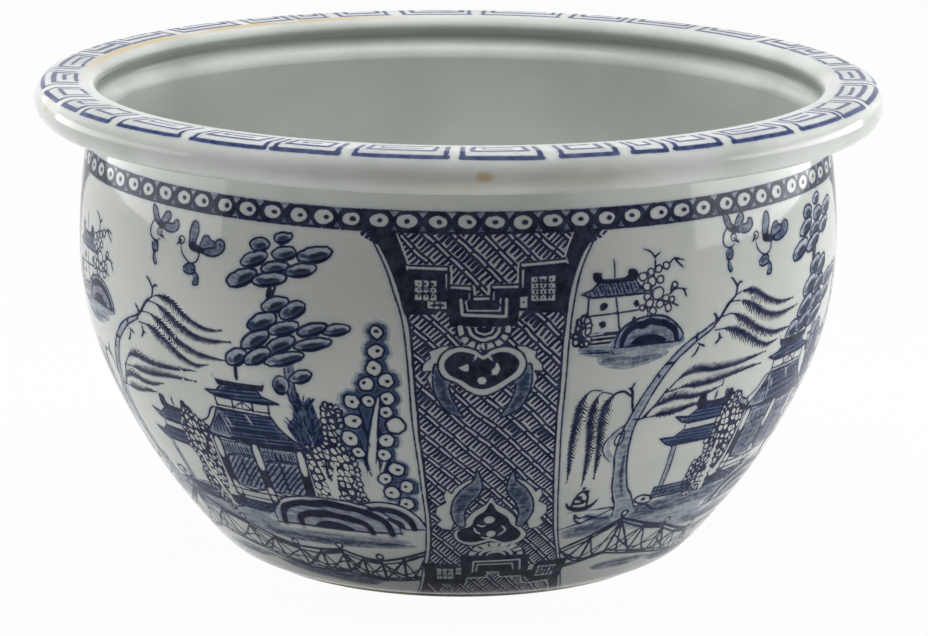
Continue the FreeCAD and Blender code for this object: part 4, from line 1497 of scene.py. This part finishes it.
@dataclass
class Fence(Motif):
    """Low zigzag railing over the water, with knobbed posts and crossed bars."""

    posts: tuple[Triple, ...] = ((-241, 50.5, 32), (-203, 71, 42), (-158, 57, 34), (-118, 45, 26),
        (-81.4, 48, 27.4), (-53.6, 41, 22.6), (-21, 51, 26.6))

    def paint(self, brush: Brush) -> None:
        """Paint the rails bay by bay, then the posts."""
        for (xa, ta, ba), (xb, tb, bb) in zip(self.posts, self.posts[1:]):
            sag = 1.2
            mid = (xa + xb) / 2
            tm, bm = (ta + tb) / 2, (ba + bb) / 2
            for run, width in (([(xa, ta), (mid, tm - sag), (xb, tb)], 1.6), ([(xa, ta - 3),
                    (mid, tm - 3.4 - sag), (xb, tb - 3)], 1.1), ([(xa, ba), (mid, bm - 0.4), (xb, bb)], 1.4),
                    ([(xa, ba + 2.2), (mid, bm + 2), (xb, bb + 2.2)], 0.9), ([(xa, ta - 2), (mid, bm + 3),
                    (xb, bb + 1)], 1.2), ([(xa, ba + 1), (mid, tm - 5), (xb, tb - 2)], 1.2),
                    ([(xa, (ta + ba) / 2 + 1), (mid, bm + 5), (xb, (tb + bb) / 2)], 0.9),
                    ([(mid + 1, tm - 1), (mid, bm)], 1.6), ([(xa, ta - 1), ((xa + mid) / 2, bm + 4),
                    (mid, bm)], 1.0), ([(mid, tm - 2), ((xb + mid) / 2, bm + 5), (xb, bb)], 1.0),
                    ([(xa, ba + 2), ((xa + mid) / 2, bm + 7), (mid, tm - 3)], 1.0), ([(mid, bm),
                    ((xb + mid) / 2, bm + 6), (xb, tb - 4)], 1.0)):
                brush.stroke(run, width * 1.3, taper=0.8)
        for x, top, base in self.posts[1:-1]:
            brush.stroke([(x, top + 1), (x + 0.4, (top + base) / 2), (x, base - 0.6)], 2.3, taper=0.8)
            brush.disc((x, top + 3.6), 2.3, 0.0, 1.5)


@dataclass
class Willow(Motif):
    """Willow leaning over the lake, with long swept fronds."""

    def paint(self, brush: Brush) -> None:
        """Paint roots, trunk, twigs and fronds."""
        trunk = [(109, 76), (105.6, 84), (99.4, 95), (95.4, 108), (93, 121), (93.4, 133), (95.4, 142),
            (99.4, 152), (105.6, 163.4), (113.4, 173), (123, 180.6), (132, 185.4), (138, 188.6)]
        wide = (15, 11, 9.4, 8, 7.4, 6.6, 5.6, 5, 4.6, 3.8, 3.2, 2.6, 2.0)
        brush.stroke(trunk, wide, BARE)
        brush.stroke([(93.6, 140), (86.6, 133), (83.2, 126.6), (86, 119), (91, 115)],
            (1.2, 1.8, 2.2, 2.6, 3), WASH, 0.3)
        brush.stroke([(92.6, 139.6), (85, 133.6), (80.8, 127), (82.4, 120.4), (87.6, 114)], 1.1)
        brush.ring([(91, 134.6), (87.4, 131), (87, 126.6), (90, 125.6), (91.6, 129)], 1.0)
        brush.shape([(90.8, 133.6), (88, 130.6), (87.8, 127), (89.8, 126.4), (91, 129)], BARE)
        brush.stroke(trunk, wide, WASH, 0.3)
        path = curve(trunk, 4.0)
        half = np.interp(path[:, 2], np.arange(len(wide)), wide) / 2
        for side in (-1, 1):
            rim = path[:, :2] + normals_of(path[:, :2]) * (half * side)[:, None]
            brush.stroke([tuple(p) for p in rim[::2]] + [tuple(rim[-1])], 1.2, taper=0.9)
        brush.stroke([(103, 88), (98.4, 100), (96, 114), (96.6, 130)], 2.2, WASH, 0.9)
        self._twigs(brush)
        self._fronds(brush)

    def _twigs(self, brush: Brush) -> None:
        """Paint boughs, thorns and small twigs."""
        brush.strokes((([(138, 188), (143, 193), (147, 198), (152, 201.4)], 1.8), ([(152, 201), (153.4, 206),
            (150.4, 210.6), (148.6, 211.6)], 1.3), ([(153, 205), (155.4, 208.4), (157.4, 208)], 1.2),
            ([(138.6, 188), (139.6, 192.4), (137.2, 194.8)], 1.6), ([(141.4, 184), (142.4, 180.6),
            (140, 178)], 1.4), ([(142, 181), (144.4, 180.6)], 1.2), ([(126.6, 181.6), (127.4, 185.6)], 1.6),
            ([(128, 180), (132.6, 178)], 1.3), ([(129, 178.6), (127, 174.6), (125, 173)], 1.3),
            ([(113.4, 172), (109, 171)], 1.6), ([(106.4, 164), (105, 166.6)], 1.6), ([(93.6, 146),
            (92.6, 152), (91.4, 158), (89.6, 160)], 1.6), ([(91.6, 155), (87, 158.4), (82, 157.4),
            (79, 154)], 1.4), ([(91, 159.4), (92.4, 163)], 1.2), ([(95.6, 141), (101, 141.4), (105, 146)],
            1.3), ([(101, 142), (108, 150), (112.4, 157)], 1.1)), taper=0.6)

    def _fronds(self, brush: Brush) -> None:
        """Paint the upper, lower and hanging fronds."""
        for spine, width, side in (([(151, 201), (158, 203.6), (168, 202.4), (178, 196.4), (190, 192.2),
                (203, 191.8)], 3.6, -1), ([(149, 199), (157, 198.4), (167, 194.4), (177, 189), (190, 186),
                (208, 187)], 4.0, -1), ([(143, 192), (150, 192.4), (160, 188.6), (172, 181.4), (186, 177),
                (204, 176.4)], 4.0, -1), ([(139, 185.6), (150, 185), (161, 180), (172, 173.8), (181, 170.4),
                (191, 171.6)], 4.4, -1), ([(112, 155.4), (119, 161.6), (129, 165), (143, 163.4), (160, 164),
                (182, 166.4)], 3.6, 1), ([(112, 155), (122, 156.6), (136, 156.4), (150, 157.6), (163, 159),
                (180, 160)], 3.4, 1), ([(101.6, 142), (108, 147.6), (118, 150.6), (130, 149.6), (141, 150.4),
                (151, 153)], 3.6, 1), ([(101, 141), (110, 141.6), (121, 142.2), (131, 144.2), (141, 145.6)],
                3.6, 1), ([(74, 160.4), (68.6, 160.6), (64, 155.6), (62, 146), (61.4, 128), (63.6, 103)],
                4.2, 1), ([(80, 158), (74.6, 159), (70.6, 152.6), (69.6, 142), (71.6, 124), (73.4, 100)],
                4.6, 1), ([(88, 158.6), (82.4, 158.4), (77.6, 153), (75.4, 143), (77.4, 126), (79.6, 104)],
                4.4, 1)):
            brush.frond(spine, width * 1.45, side)


@dataclass
class Shore(Motif):
    """Bank under the willow, its roots, and a little moored boat of leaves."""

    def paint(self, brush: Brush) -> None:
        """Paint washes, bank lines, roots and the boat."""
        for points, tone in (([(70, 66), (84, 70), (98, 74), (110, 72), (112, 66), (100, 61), (80, 59.6),
                (72, 60)], 0.52), ([(112, 78), (130, 80), (152, 82.6), (186, 81), (214, 79), (212, 70),
                (180, 69), (130, 71), (114, 72)], 0.62), ([(116, 66), (150, 70), (200, 68), (190, 60),
                (150, 57), (122, 60)], 0.24)):
            brush.shape(points, WASH, tone, fine=2.0)
        brush.strokes((([(66, 67), (78, 70.6), (90, 75), (100, 79.6), (106, 80)], 1.1), ([(86, 80.4),
            (96, 81), (107, 80.4), (109, 76)], 1.1), ([(111, 78), (124, 79), (134, 73.6), (150, 72)], 1.3)))
        for centre, wide, tilt in (((101, 87), 5.6, -50), ((121, 83.4), 7.0, -12)):
            brush.oval(centre, wide, 3.0, tilt, BARE)
            brush.ring(brush.round_points(centre, wide, 3.0, tilt), 1.4)
            brush.oval(centre, 1.6, 1.4, 0)
        brush.stroke([(66.4, 88), (68.6, 84.6), (74, 82.6), (80, 82.8), (84.2, 85), (86.8, 88.8)],
            (1.0, 2.4, 3.6, 3.6, 2.4, 1.0))
        brush.stroke([(70.6, 85), (71.4, 91), (75.4, 95.4), (79.4, 92), (80.4, 85)], 1.6, taper=0.8)
        for spot, size in (((74, 90.6), 1.6), ((77, 88), 1.7), ((73, 86.6), 1.2), ((78.6, 95.4), 1.3),
                ((75.6, 97.4), 1.2)):
            brush.dab(spot, size)
        brush.ring([(74.6, 78.4), (76, 73.4), (80.6, 70.8), (84.6, 73), (89.4, 74.6), (83, 76.4),
            (78, 75.4)], 1.5, sharp=True)
        brush.stroke([(68, 80), (84, 81), (98, 80.6)], 1.0, WASH, 0.5)


@dataclass
class HillHouse(Motif):
    """Far house on a domed rock with a flowering shrub."""

    def paint(self, brush: Brush) -> None:
        """Paint the house, the shrub and the rock."""
        brush.shape([(64, 210.6), (96, 210.6), (95, 190), (64, 190)], BARE, sharp=True)
        brush.shape([(67, 222.8), (71.8, 222.6), (72.4, 219.6), (84.4, 219.8), (86, 223.4), (90.6, 222.6),
            (89.6, 217.6), (70, 217.4)])
        brush.stroke([(78.2, 218), (78.4, 224), (78, 229)], 0.9)
        brush.patch([(70, 218), (90, 218), (92.6, 213.6), (96.4, 210.4), (67, 210.4), (61.4, 212.4),
            (66.6, 214.6)], 0.6, 1.1, [(112, 1.9, 0.8, 0.6)])
        brush.strokes(((run, 1.0) for run in ([(64.6, 210.4), (63.6, 192)], [(79, 210.4), (80.6, 200),
            (81.4, 191.6)], [(95.4, 210.4), (96.4, 199.6)], [(64.4, 201), (80.6, 201.4), (96.4, 202.4)],
            [(63.6, 192), (81.4, 191.6)], [(64, 210.4), (96, 210.6)])), taper=0.9)
        for spot, size in (((73, 205.4), 2.0), ((90, 205.6), 1.8), ((72.4, 196.4), 1.8), ((89, 198), 1.0)):
            brush.dab(spot, size)
        wall = [(60.4, 191.4), (80.4, 191.8), (79.6, 184.6), (61.6, 184.6)]
        brush.shape(wall, LINE, sharp=True)
        brush.hatch(wall, 2, 2.0, 0.7, BARE, ragged=3.5)
        brush.pebbles([(58.4, 188), (60, 198), (64.6, 198.6), (64.4, 187)], 1.8)
        self._shrub(brush)
        for points, tone in (([(60, 184.6), (84, 184), (118, 184.6), (112, 180), (90, 180.6), (70, 179)],
                0.62), ([(70, 178.6), (84, 180), (104, 180), (110, 177.6), (100, 173.4), (86, 171.4),
                (74, 174)], 0.5)):
            brush.shape(points, WASH, tone)
        brush.stroke([(60.6, 181.6), (76, 181), (80, 179.4)], 0.9)
        dome = [(79, 183.4), (80.4, 190), (86, 195.6), (96, 198.4), (107, 197.2), (115, 191.6), (118, 186),
            (116, 183.4)]
        brush.shape(dome, BARE)
        brush.shape(dome, WASH, 0.5)
        brush.stroke(dome, 1.2, taper=0.8)
        Rocks().arch(brush, (98.4, 184.4), 15.6, 10.4, 4.0)
        brush.shape([(88.6, 183.8), (90.6, 187.4), (97, 189), (104, 187.6), (108, 183.8)])
        brush.stroke([(79, 183), (98, 183.6), (117, 183)], 1.2)

    def _shrub(self, brush: Brush) -> None:
        """Paint twigs and small round blossoms."""
        for run in ([(95, 202), (99, 214), (101, 226), (98.6, 231), (94.6, 233)], [(101, 228), (104, 230.4)],
                [(101, 221), (108, 223), (112, 226.4), (118, 225)], [(112, 226), (117.4, 221)], [(100, 206),
                (108, 208), (113, 211), (119.6, 210)], [(110, 209.6), (110.6, 213.6)],
                [(108, 205), (115, 202)], [(117, 211), (119.6, 206)]):
            brush.stroke(run, 1.1)
        for x, y, size in ((94, 219, 2.3), (99, 216, 2.3), (104, 216.6, 1.9), (96, 213.6, 2.1),
                (103, 222, 2.1), (107.4, 223.4, 1.9), (102.4, 209.6, 3.4), (97.6, 205, 2.2),
                (103.6, 204, 2.2), (108.4, 201.6, 2.0), (96.4, 208.6, 1.8), (99.6, 201, 1.9),
                (107, 206.6, 1.9), (112.4, 213, 1.6), (110.6, 205.6, 1.7), (98.6, 221, 1.8),
                (93.4, 203, 1.6)):
            brush.disc((x, y), size, 0.0, 1.0)


@dataclass
class LakePavilion(Motif):
    """Small open pavilion by the water with a pebble-leaved tree behind it."""

    def paint(self, brush: Brush) -> None:
        """Paint the tree, then the pavilion."""
        brush.pebbles([(157, 148), (164, 142), (172, 137), (181, 132), (184, 120), (182, 100), (176, 88),
            (171, 90), (170, 104), (168, 118), (162, 132)], 1.9)
        brush.pebbles([(153, 120), (158, 121), (166, 128), (170, 118), (167, 104), (166, 92), (160, 80),
            (154, 84), (150, 96), (151, 104), (157, 108)], 2.2)
        self._roofs(brush)
        for x in (126.6, 129.6):
            brush.stroke([(x, 119.4), (x + 1.4, 104), (x + 2.2, 90)], 1.0, taper=0.9)
        brush.stroke([(128, 119), (129.6, 104), (130.4, 90)], 2.0, WASH, 0.55)
        brush.patch([(125.6, 91), (158, 91), (157, 82.6), (126, 83)], 0.7, 1.0, [(2, 2.4, 0.9, 2.0),
            (90, 3.2, 0.7, 1.0)])

    def _roofs(self, brush: Brush) -> None:
        """Paint the notched ridge and two roofs."""
        brush.shape([(135.4, 148.6), (138, 150.4), (141, 149.4), (142.4, 145.4), (154, 145.2),
            (156.4, 148.8), (160.4, 148.4), (163, 145.6), (160.4, 141.4), (137.4, 141.6)])
        brush.stroke([(147.8, 145), (148, 150.6)], 1.4)
        for roof in ([(137, 141.6), (160.6, 141.2), (164, 137.4), (162, 133.2), (133, 133), (128, 134.6),
                (122.4, 139), (131.4, 137.6)], [(130.6, 129), (162, 129), (164.6, 124), (167.6, 119.6),
                (125, 119.8), (121, 121.6), (116, 125.8), (125.6, 125.6)]):
            brush.patch(roof, 0.88, 1.1, [(178, 2.0, 0.9, 1.5)], True)
        brush.shape([(131, 132.6), (160.6, 132.8), (160.4, 129.6), (131, 129.4)], BARE, sharp=True)
        brush.stroke([(131, 133), (131, 129.2)], 1.0)


@dataclass(frozen=True)
class Hand:
    """How far one repeat's motifs stray from the first one's, in millimetres."""

    house: Point = (0.0, 0.0)
    willow: Point = (0.0, 0.0)
    birds: Point = (0.0, 0.0)
    pavilion: Point = (0.0, 0.0)
    pagoda: Point = (0.0, 0.0)
    trees: Point = (0.0, 0.0)
    shore: Point = (0.0, 0.0)
    panel: float = 0.0


HANDS = (Hand(house=(-19, -5), willow=(-13, -7), birds=(-6, -2), pavilion=(-7, -12), shore=(-8, 0)),
    Hand(pagoda=(14, 12), trees=(9, 1)), Hand(house=(-6, -2), willow=(-5, -3), birds=(2, 1),
    pavilion=(-3, -5), pagoda=(4, 3)), Hand(house=(-10, -3), willow=(-9, -4), birds=(-3, 0),
    pavilion=(-5, -8), pagoda=(2, 4), trees=(3, 0), panel=-22.0))


class Painting:
    """Marks on a surface that closes on itself."""

    def __init__(self, lap: float) -> None:
        """Start with no marks on a surface that is lap millimetres round."""
        self.lap = lap
        self.marks: list[Mark] = []

    def between(self, low: float, high: float) -> list[Mark]:
        """Marks on one stretch, also those that come round from behind.

        Args:
            low: where the stretch starts.
            high: where it ends.
        Returns:
            The marks, in the order they were painted.
        """
        found = []
        for mark in self.marks:
            for turn in (-1, 0, 1):
                moved = mark.moved(turn * self.lap) if turn else mark
                start, end = moved.box()
                if start[0] < high and end[0] > low:
                    found.append(moved)
        return found


class WallPainting(Painting):
    """All the marks of the wall: four gardens, four panels and the bead border."""

    def __init__(self) -> None:
        """Paint the four repeats in turn."""
        super().__init__(4 * REPEAT)
        for turn, hand in enumerate(HANDS):
            brush = Brush(40 + turn)
            self._garden(brush, turn * REPEAT, hand)
            brush.shake = 0.12
            Panel().paint(brush.to(turn * REPEAT + hand.panel))
            BeadBorder().paint(brush.to(turn * REPEAT - 46.0))
            self.marks += brush.marks
        LOG.info("wall painting: %d marks", len(self.marks))

    def _garden(self, brush: Brush, here: float, hand: Hand) -> None:
        """Paint one garden to the left of a panel.

        Args:
            brush: the hand.
            here: the panel's place round the bowl.
            hand: how this repeat strays.
        """
        far = here - REPEAT
        here += hand.panel
        for motif, base, stray in ((Water(), here, (0.0, 0.0)), (Shore(), far, hand.shore),
                (HillHouse(), far, hand.house), (LakePavilion(), far, hand.pavilion),
                (Thicket(), here, hand.pagoda), (LeafTree(), here, hand.trees),
                (Pagoda(), here, hand.pagoda), (BlossomTree(), here, (0.0, 0.0)),
                (Rocks(), here, (0.0, 0.0)), (Willow(), far, hand.willow), (Fence(), here, (0.0, 0.0))):
            brush.shake = 0.15
            motif.paint(brush.to(base + stray[0], stray[1]))
            LOG.debug("%s at %.0f", type(motif).__name__, base)
        u, v = hand.birds
        Bird(flip=True).paint(brush.to(far + 151.4 + u, 232.2 + v))
        Bird().paint(brush.to(far + 168.6 + u, 230.8 + v))


class RimPainting(Painting):
    """Square key fret round the top of the rim."""

    inner: float = 66.4          # mm along the rim outline: towards the opening
    outer: float = 47.4          # mm: towards the outside
    units: tuple[Point, ...] = ((45, 6), (39, 8), (29, 7), (19, 4), (27, 7), (42, 7), (40, 3),
                                (32, 6))  # width of each unit and the gap after it

    def __init__(self) -> None:
        """Paint the fret all round."""
        super().__init__(math.tau * RIM_RADIUS)
        self.brush = Brush(77)
        self.brush.shake = 0.22
        round_once = sum(wide + gap for wide, gap in self.units)
        stretch = (self.lap - round_once) / (3 * round_once)
        x = -50.0
        for k in range(4 * len(self.units)):
            wide, gap = self.units[k % len(self.units)]
            if k >= len(self.units):
                wide, gap = wide * stretch, gap * stretch
            self.turned = 0.3 < (x / self.lap) % 1.0 < 0.7
            self._spiral(x, wide)
            x += wide + gap
        self.marks = self.brush.marks

    def _line(self, points: list[Point], fat: float, sharp: bool = True) -> None:
        """Draw one line of a unit; at the back the units stand the other way up."""
        if self.turned:
            points = [(x, self.inner + self.outer - y) for x, y in points]
        self.brush.stroke(points, fat, sharp=sharp, taper=0.9)

    def _spiral(self, x: float, wide: float) -> None:
        """Paint one unit: three thick outer sides round a squared, nearly closed turn."""
        i, o = self.inner, self.outer
        lean, dice = self.brush.dice.uniform(-0.4, 1.8), self.brush.dice.uniform
        thick, thin = dice(2.6, 3.2), dice(2.0, 2.6)
        end = x + wide - 1.2
        self._line([(x + 1.4, i - dice(0, 2)), (x + 0.9, o + 1.0)], thick * 0.8)
        self._line([(x, o), (x + wide * 0.5, o + 0.2), (end + 0.6, o)], thick, False)
        self._line([(end, o + 0.6), (end + lean, i - 0.4)], thick * 0.9)
        low, gap = o + 6.8, 5.4
        if wide < 24:
            self._line([(x + gap, i - 1), (x + gap, low), (end - gap, low + 0.2), (end - gap + 0.6, i - 4)],
                thin)
            return
        self._line([(x + gap + 1.0, i - 0.6), (x + gap, low), (end - gap, low - 0.2), (end - gap
            + lean * 0.7, i - 0.6)], thin * 1.15)
        self._line([(x + gap + 1.0, i - 0.4), (x + wide * 0.5, i - 0.7), (end - gap - 3, i - 0.4)],
            thin * 0.9, False)
        if wide > 34:
            self._line([(x + gap + 6, i - 4.8), (x + gap + 6.2, i - 6.6), (end - gap - 7, i - 6.4)],
                thin * 0.9)


# The bowl

@dataclass
class GlazedBowl:
    """The three glaze skins, and the clay that stays in sight under the foot."""

    wall_parts: int = 4
    rim_parts: int = 3
    bowl_parts: int = 2
    wall_grid: float = 2.6       # mm between plain points
    rim_grid: float = 2.2
    bowl_grid: float = 4.5
    pieces: list[bpy.types.Object] = field(default_factory=list)

    def build(self) -> None:
        """Build and dress every piece."""
        painted = GlazeFinish("painted_glaze").make()
        # The lip's and the inside's glazes are lighter copies of the wall's: painted light for the rim top
        # and the inside.
        lip = GlazeFinish("rim_glaze", body=srgb(224, 227, 223), cobalt_deep=srgb(30, 43, 90),
            cobalt_line=srgb(64, 82, 134), stains_and_painted_light=True).make()
        plain = GlazeFinish("plain_glaze", body=srgb(217, 221, 217), shade=srgb(202, 207, 201),
            painted=False).make()
        self._sweep("painted_wall", WALL_OUTLINE, WALL_RADIUS, self.wall_parts, WallPainting(),
            "outer_glaze", painted, self.wall_grid)
        self._sweep("rolled_rim_glaze", RIM_OUTLINE, RIM_RADIUS, self.rim_parts, RimPainting(), "rim_glaze",
            lip, self.rim_grid)
        self._sweep("inside_glaze", BOWL_OUTLINE, WALL_RADIUS, self.bowl_parts, Painting(4 * REPEAT),
            "inner_glaze", plain, self.bowl_grid)
        self._foot()

    def _sweep(self, name: str, outline: Outline, radius: float, parts: int, painting: Painting, node: str,
            finish: bpy.types.Material, grid: float) -> None:
        """Build one glaze in parts round the bowl; the front is the middle of the first.

        Args:
            name: what the pieces are called.
            outline: the turned outline.
            radius: what turns an angle into u.
            parts: how many pieces.
            painting: what is painted on them.
            node: the CAD node they replace.
            finish: their material.
            grid: distance between plain points.
        """
        lap = math.tau * radius
        start = -lap / (2 * parts)
        for k in range(parts):
            low, high = start + lap * k / parts, start + lap * (k + 1) / parts
            chart = Chart(painting.between(low, high), (low, 0.0), (high, outline.total), grid)
            piece = Skin(outline, radius).build(f"{name}_{k + 1}", chart)
            piece.data.materials.append(finish)
            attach(piece, "root")
            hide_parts(node)
            self.pieces.append(piece)

    def _foot(self) -> None:
        """Dress the CAD clay with its biscuit finish."""
        biscuit = BiscuitFinish().make()
        for node in ("foot_ring", "base_disc", "lower_wall", "upper_wall", "rolled_rim"):
            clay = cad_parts[node]
            for slot in clay.material_slots:
                slot.material = biscuit
            if not clay.material_slots:
                clay.data.materials.append(biscuit)
            LOG.info("%s: biscuit", node)


# The studio

@dataclass
class Studio:
    """Pale floor, soft lamps and the camera of the photograph."""

    distance: float = 2.2
    height: float = 0.646
    pitch: float = 13.33         # degrees down
    roll: float = 0.45           # degrees
    focal: float = 4105.0        # pixels of the photograph
    offset: float = 6.5          # pixels that the bowl sits left of the middle
    sensor: float = 36.0
    fill: float = 0.02           # strength of the even light from all round
    paper: float = 0.88
    plain: float = 0.97          # share of the floor that shows plain white
    reach: float = 6.0           # metres from the bowl to the floor's edges
    aim: float = 0.15            # metres up: where the lamps point

    def build(self) -> None:
        """Set everything up."""
        self._camera()
        self._floor()
        self._world()
        self._lamps()
        bpy.context.scene.view_settings.view_transform = "Standard"

    def _camera(self) -> None:
        """Place the camera."""
        data = bpy.data.cameras.new("camera")
        data.sensor_width = self.sensor
        data.lens = self.focal / PHOTO_WIDE * self.sensor
        data.shift_x = self.offset / PHOTO_WIDE
        data.clip_end = 5 * self.reach
        camera = bpy.data.objects.new("camera", data)
        camera.location = (0.0, -self.distance, self.height)
        tip = Matrix.Rotation(math.radians(90.0 - self.pitch), 3, "X")
        spin = Matrix.Rotation(math.radians(self.roll), 3, "Z")
        camera.rotation_euler = (tip @ spin).to_euler()
        bpy.context.scene.collection.objects.link(camera)
        bpy.context.scene.camera = camera

    def _floor(self) -> None:
        """Lay a wide pale floor that shows white and keeps the bowl's shadow."""
        mesh = bpy.data.meshes.new("floor")
        size = self.reach
        mesh.from_pydata([(-size, -size, 0), (size, -size, 0), (size, size, 0), (-size, size, 0)], [],
            [(0, 1, 2, 3)])
        floor = bpy.data.objects.new("floor", mesh)
        bpy.context.scene.collection.objects.link(floor)
        material = bpy.data.materials.new("floor_paper")
        material.use_nodes = True
        net = Net(material.node_tree)
        paper = net.node("ShaderNodeBsdfDiffuse", {}, {"Color": (self.paper,) * 3})
        white = net.node("ShaderNodeEmission", {}, {"Color": (1.0, 1.0, 1.0), "Strength": 1.0})
        seen = self._seen(net)
        net.finish(net.node("ShaderNodeMixShader", {}, {0: seen * self.plain, 1: paper, 2: white}))
        mesh.materials.append(material)

    def _seen(self, net: Net) -> Flow:
        """1 where the camera sees a surface, straight, in a gloss or through glass."""
        rays = [net.node("ShaderNodeLightPath", {}, {}, name) for name in ("Is Camera Ray", "Is Glossy Ray",
            "Is Transmission Ray")]
        return rays[0].most(rays[1]).most(rays[2])

    def _world(self) -> None:
        """White behind the bowl, soft even light on it."""
        world = bpy.data.worlds.new("studio")
        bpy.context.scene.world = world
        world.use_nodes = True
        net = Net(world.node_tree)
        seen = self._seen(net)
        white = net.node("ShaderNodeBackground", {}, {"Color": (1.0, 1.0, 1.0), "Strength": 1.0})
        fill = net.node("ShaderNodeBackground", {}, {"Color": (1.0, 1.0, 1.0), "Strength": self.fill})
        net.finish(net.node("ShaderNodeMixShader", {}, {0: seen, 1: fill, 2: white}), "World")

    def _lamp(self, name: str, place: Triple, wide: float, high: float, power: float) -> None:
        """Hang a soft box that faces the bowl."""
        data = bpy.data.lights.new(name, "AREA")
        data.shape = "RECTANGLE"
        data.size, data.size_y, data.energy = wide, high, power
        lamp = bpy.data.objects.new(name, data)
        lamp.location = place
        aim = Vector((0.0, 0.0, self.aim)) - Vector(place)
        lamp.rotation_euler = aim.to_track_quat("-Z", "Y").to_euler()
        bpy.context.scene.collection.objects.link(lamp)

    def _lamps(self) -> None:
        """Hang the soft boxes: bright at both sides, gentle from above and behind."""
        for name, place, wide, high, power in (("left_box", (-1.9, 0.35, 0.27), 2.2, 0.5, 22.0),
                ("right_box", (1.9, 0.35, 0.27), 2.2, 0.5, 32.0), ("back_left_box", (-1.3, 1.2, 0.8), 1.0,
                1.0, 4.5), ("back_right_box", (1.3, 1.2, 0.8), 1.0, 1.0, 3.0), ("top_back_box",
                (0.0, 0.8, 1.6), 1.6, 0.6, 3.5), ("top_box", (0.0, -0.14, 1.4), 1.2, 0.8, 14.5)):
            self._lamp(name, place, wide, high, power)


def main() -> None:
    """Build the bowl and the studio."""
    logging.basicConfig(level=logging.INFO, format="%(name)s: %(message)s")
    bowl = GlazedBowl()
    bowl.build()
    Studio().build()
    LOG.info("%d pieces", len(bowl.pieces))


if __name__ == "__main__":
    main()
